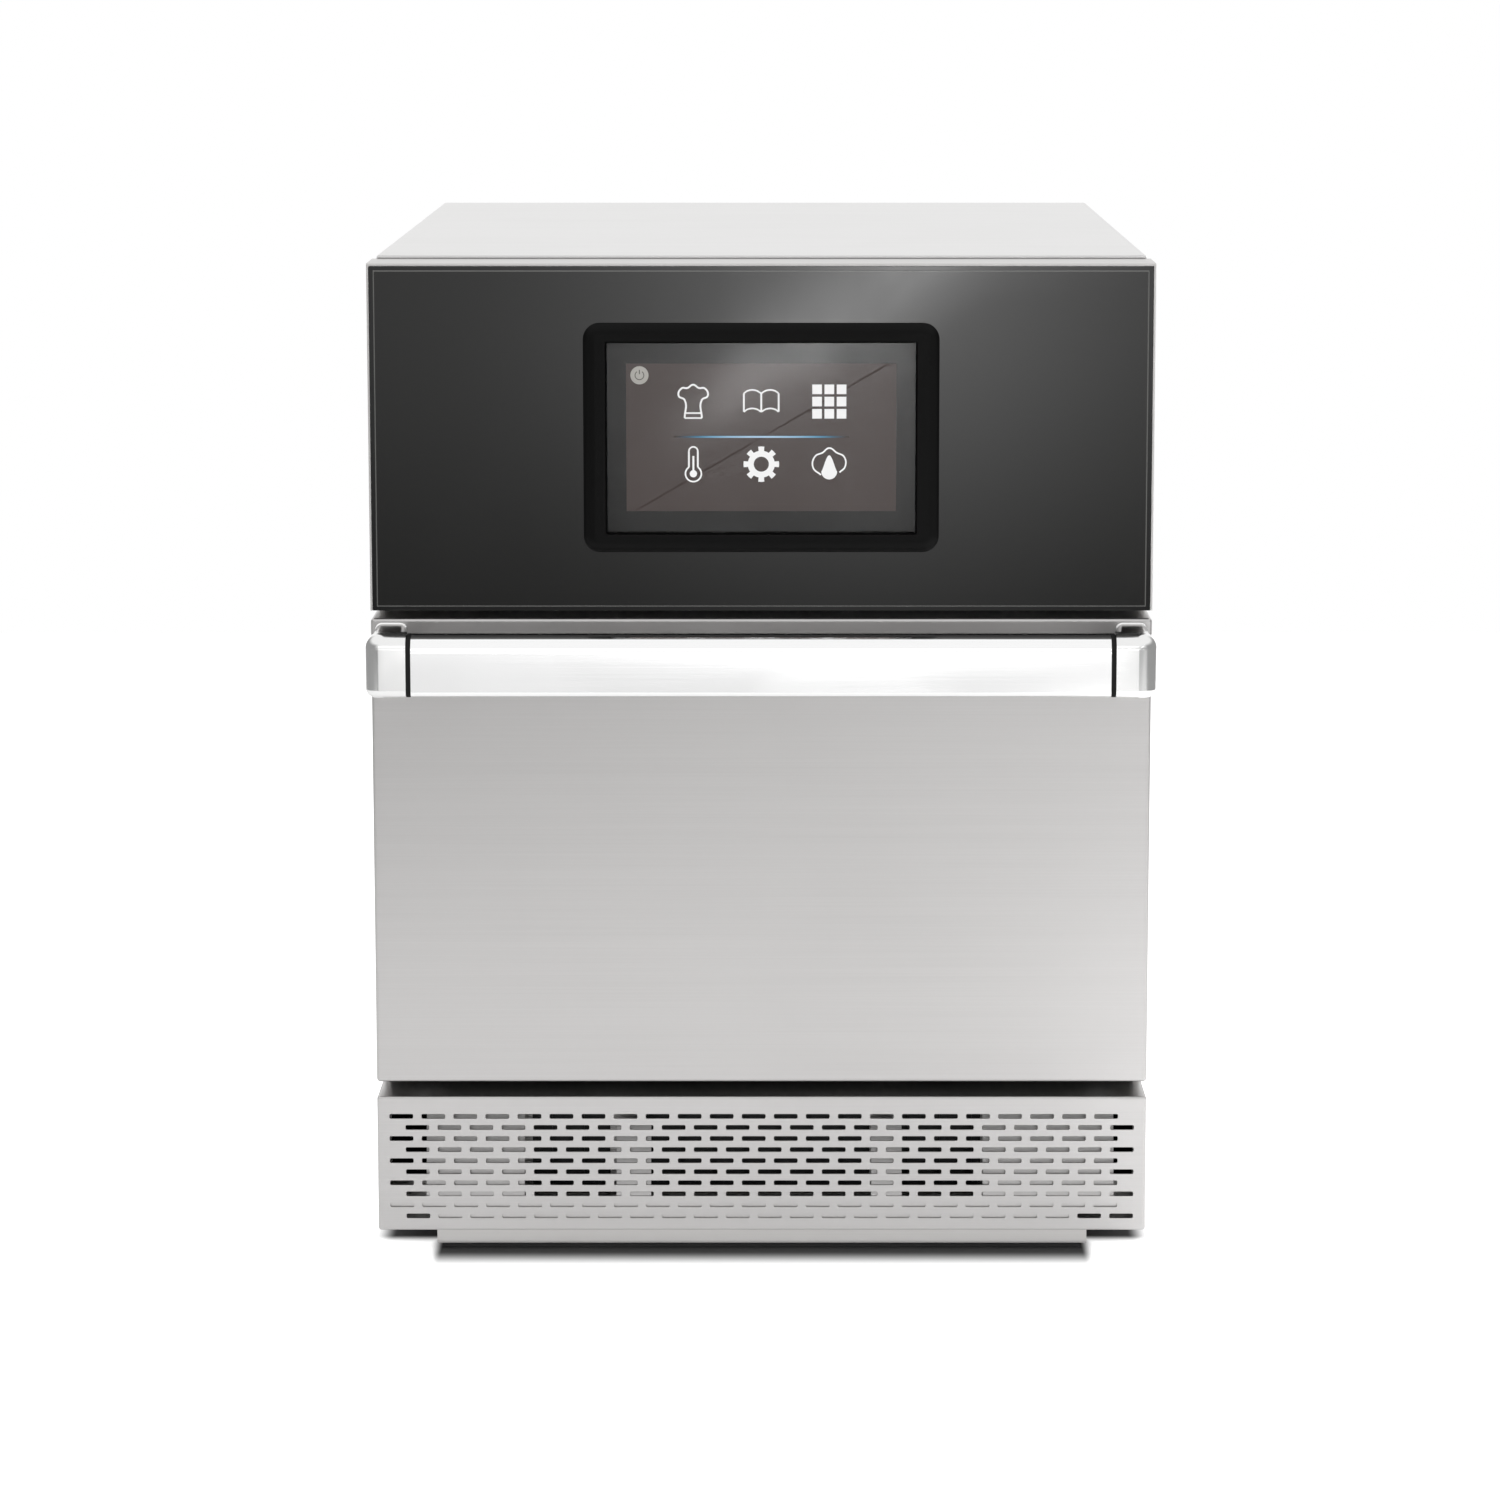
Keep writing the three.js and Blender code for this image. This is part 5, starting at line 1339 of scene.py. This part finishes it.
# Handle: a flat bright bar, widely rounded along its upper front edge, held between two
# polished cast ends whose arms run back to the door. A black gasket parts bar and end.
bar_top_round = 0.0098
bar_bottom_round = 0.0036
bar_back_round = 0.001
head_round = 0.0115
head_top_round = 0.0085
head_bottom_round = 0.0052
arm_inset = 0.0035
arm_outer_inset = 0.0022
arm_drop = 0.0006
arm_rise = 0.0030
arm_round = 0.0042
arm_overlap = 0.006
collar_thick = 0.0013
collar_rim = 0.0005
collar_round = 0.0047
collar_edge = 0.0005
handle_metal = brushed_steel("handle_metal", (0.93, 0.93, 0.93), 0.09, sideways, depth=0.03, bump=0.025)
cast_metal = moulded("cast_metal", (0.86, 0.86, 0.855), 0.15, metallic=1.0, depth=0.03, bump=0.03)
gasket_rubber = moulded("gasket_rubber", (0.006, 0.006, 0.006), 0.6, depth=0.2, shine=0.2)


def round_bar(name, low, high):
    """A length of the handle's section."""
    bar = block(name, low, high)
    for radius, steps, *tests in (
        (bar_top_round, 9, at("y", low.y), at("z", high.z)),
        (bar_bottom_round, 5, at("y", low.y), at("z", low.z)),
        (bar_back_round, 2, at("y", high.y)),
    ):
        round_edges(bar, radius, steps, all_of(along("x"), *tests))
    return bar


bar_low, bar_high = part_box("handle_bar")
back = bar_high.y
bar = round_bar("handle", bar_low, bar_high)
handle_parts.objects.link(fit(bar, "door", "handle_metal", handle_metal, "handle_bar"))

for name, side in (("left", -1), ("right", 1)):
    gasket = round_bar(name + "_spacer", *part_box(name + "_handle_gasket"))
    fit(gasket, "door", "rubber", gasket_rubber, name + "_handle_gasket")
    low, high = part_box(name + "_handle_end")
    inner, outer = (low.x, high.x) if side > 0 else (high.x, low.x)
    head = slab(name + "_handle_casting", low, high, low.y, back)
    round_edges(head, head_round, 10, all_of(along("z"), at("x", outer), at("y", low.y)))
    joints = any_of(at("x", inner), at("y", back))
    for radius, steps, z in ((head_top_round, 7, high.z), (head_bottom_round, 5, low.z)):
        rim = all_of(at("z", z), lambda a, b: not joints(a, b))
        round_edges(head, radius, steps, rim)

    near, far = sorted((inner + side * arm_inset, outer - side * arm_outer_inset))
    front, bottom, top = back - arm_overlap, low.z + arm_drop, high.z - arm_drop
    arm = block("arm", (near, front, bottom), (far, high.y, top), "y", arm_round, 6)

    def slope(point):
        """Lowers the arm's upper part toward its front."""
        if point.z > top - arm_round - hair:
            point.z -= arm_rise * (high.y - point.y) / (high.y - front)

    move_points(arm, slope)
    collar_front = high.y - collar_thick
    collar_low = (near - collar_rim, collar_front, bottom - collar_rim)
    collar_high = (far + collar_rim, high.y, high.z)
    collar = block("collar", collar_low, collar_high, "y", collar_round, 6)
    round_edges(collar, collar_edge, 2, at("y", collar_front))
    combine(head, "UNION", arm, collar)
    handle_parts.objects.link(fit(head, "door", "handle_metal", cast_metal, name + "_handle_end"))


# Air grille: a folded steel cover with ten staggered rows of slots, hung on the front of
# the base and pulled off forwards to clean the filter behind it.
grille_sheet = 0.0015
grille_fold = 0.0017
slot_length = 0.0147
slot_height = 0.003
slot_pitch = 0.01979
slot_row_pitch = 0.00703
slot_rows = 10
slots_in_row = 23
slot_top = 0.0125
slot_round = 0.0008
channel_gap = 0.0005
channel_sheet = 0.001
channel_top = 0.0195
channel_step = 0.0127
channel_ends = (-0.2025, 0.1955)
channel_half = 0.2335
tab_sheet = 0.0008
tab_lean = 0.012
tab_overlap = 0.001
tabs = [
    (-0.2077, -0.1470, 0.0785),
    (-0.0900, -0.0686, 0.0635),
    (0.0678, 0.0867, 0.0635),
    (0.1369, 0.2180, 0.0785),
]
grille_steel = brushed_steel("grille_steel", (0.60, 0.59, 0.585), 0.33, sideways)

low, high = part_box("vent_grille")
inner_face = low.y + grille_sheet
grille = open_pan("air_grille", low, high, grille_sheet, inner_face)
round_edges(grille, grille_fold, 4, outer_folds(low, high))
for first_row in (0, 1):
    x = (first_row - 0.5) * slot_pitch / 2 - (slots_in_row - 1) / 2 * slot_pitch
    z = high.z - slot_top - first_row * slot_row_pitch
    slot_low = (x - slot_length / 2, low.y - past, z - slot_height / 2)
    slot_high = (x + slot_length / 2, inner_face + past, z + slot_height / 2)
    slot = block("slot", slot_low, slot_high, "y", slot_round, 2)
    repeat(slot, slots_in_row, (slot_pitch, 0, 0))
    repeat(slot, slot_rows // 2, (0, 0, -2 * slot_row_pitch))
    combine(grille, "DIFFERENCE", slot)
front = inner_face + channel_gap
back = front + channel_sheet
bottom, step, top = low.z + grille_sheet, low.z + channel_step, low.z + channel_top
pieces = [
    grille,
    block("channel", (channel_ends[0], front, bottom), (channel_ends[1], back, step)),
    block("channel", (-channel_half, front, step), (channel_half, back, top)),
]
for left, right, rise in tabs:
    tab = block("tab", (left, front, top - tab_overlap), (right, front + tab_sheet, low.z + rise))
    choose(tab, edges=at("z", low.z + rise))
    bpy.ops.transform.translate(value=(0, tab_lean, 0))
    leave_editing()
    pieces.append(tab)
fit(joined("air_grille", pieces), "grille", "stainless", grille_steel, "vent_grille", smooth=30)
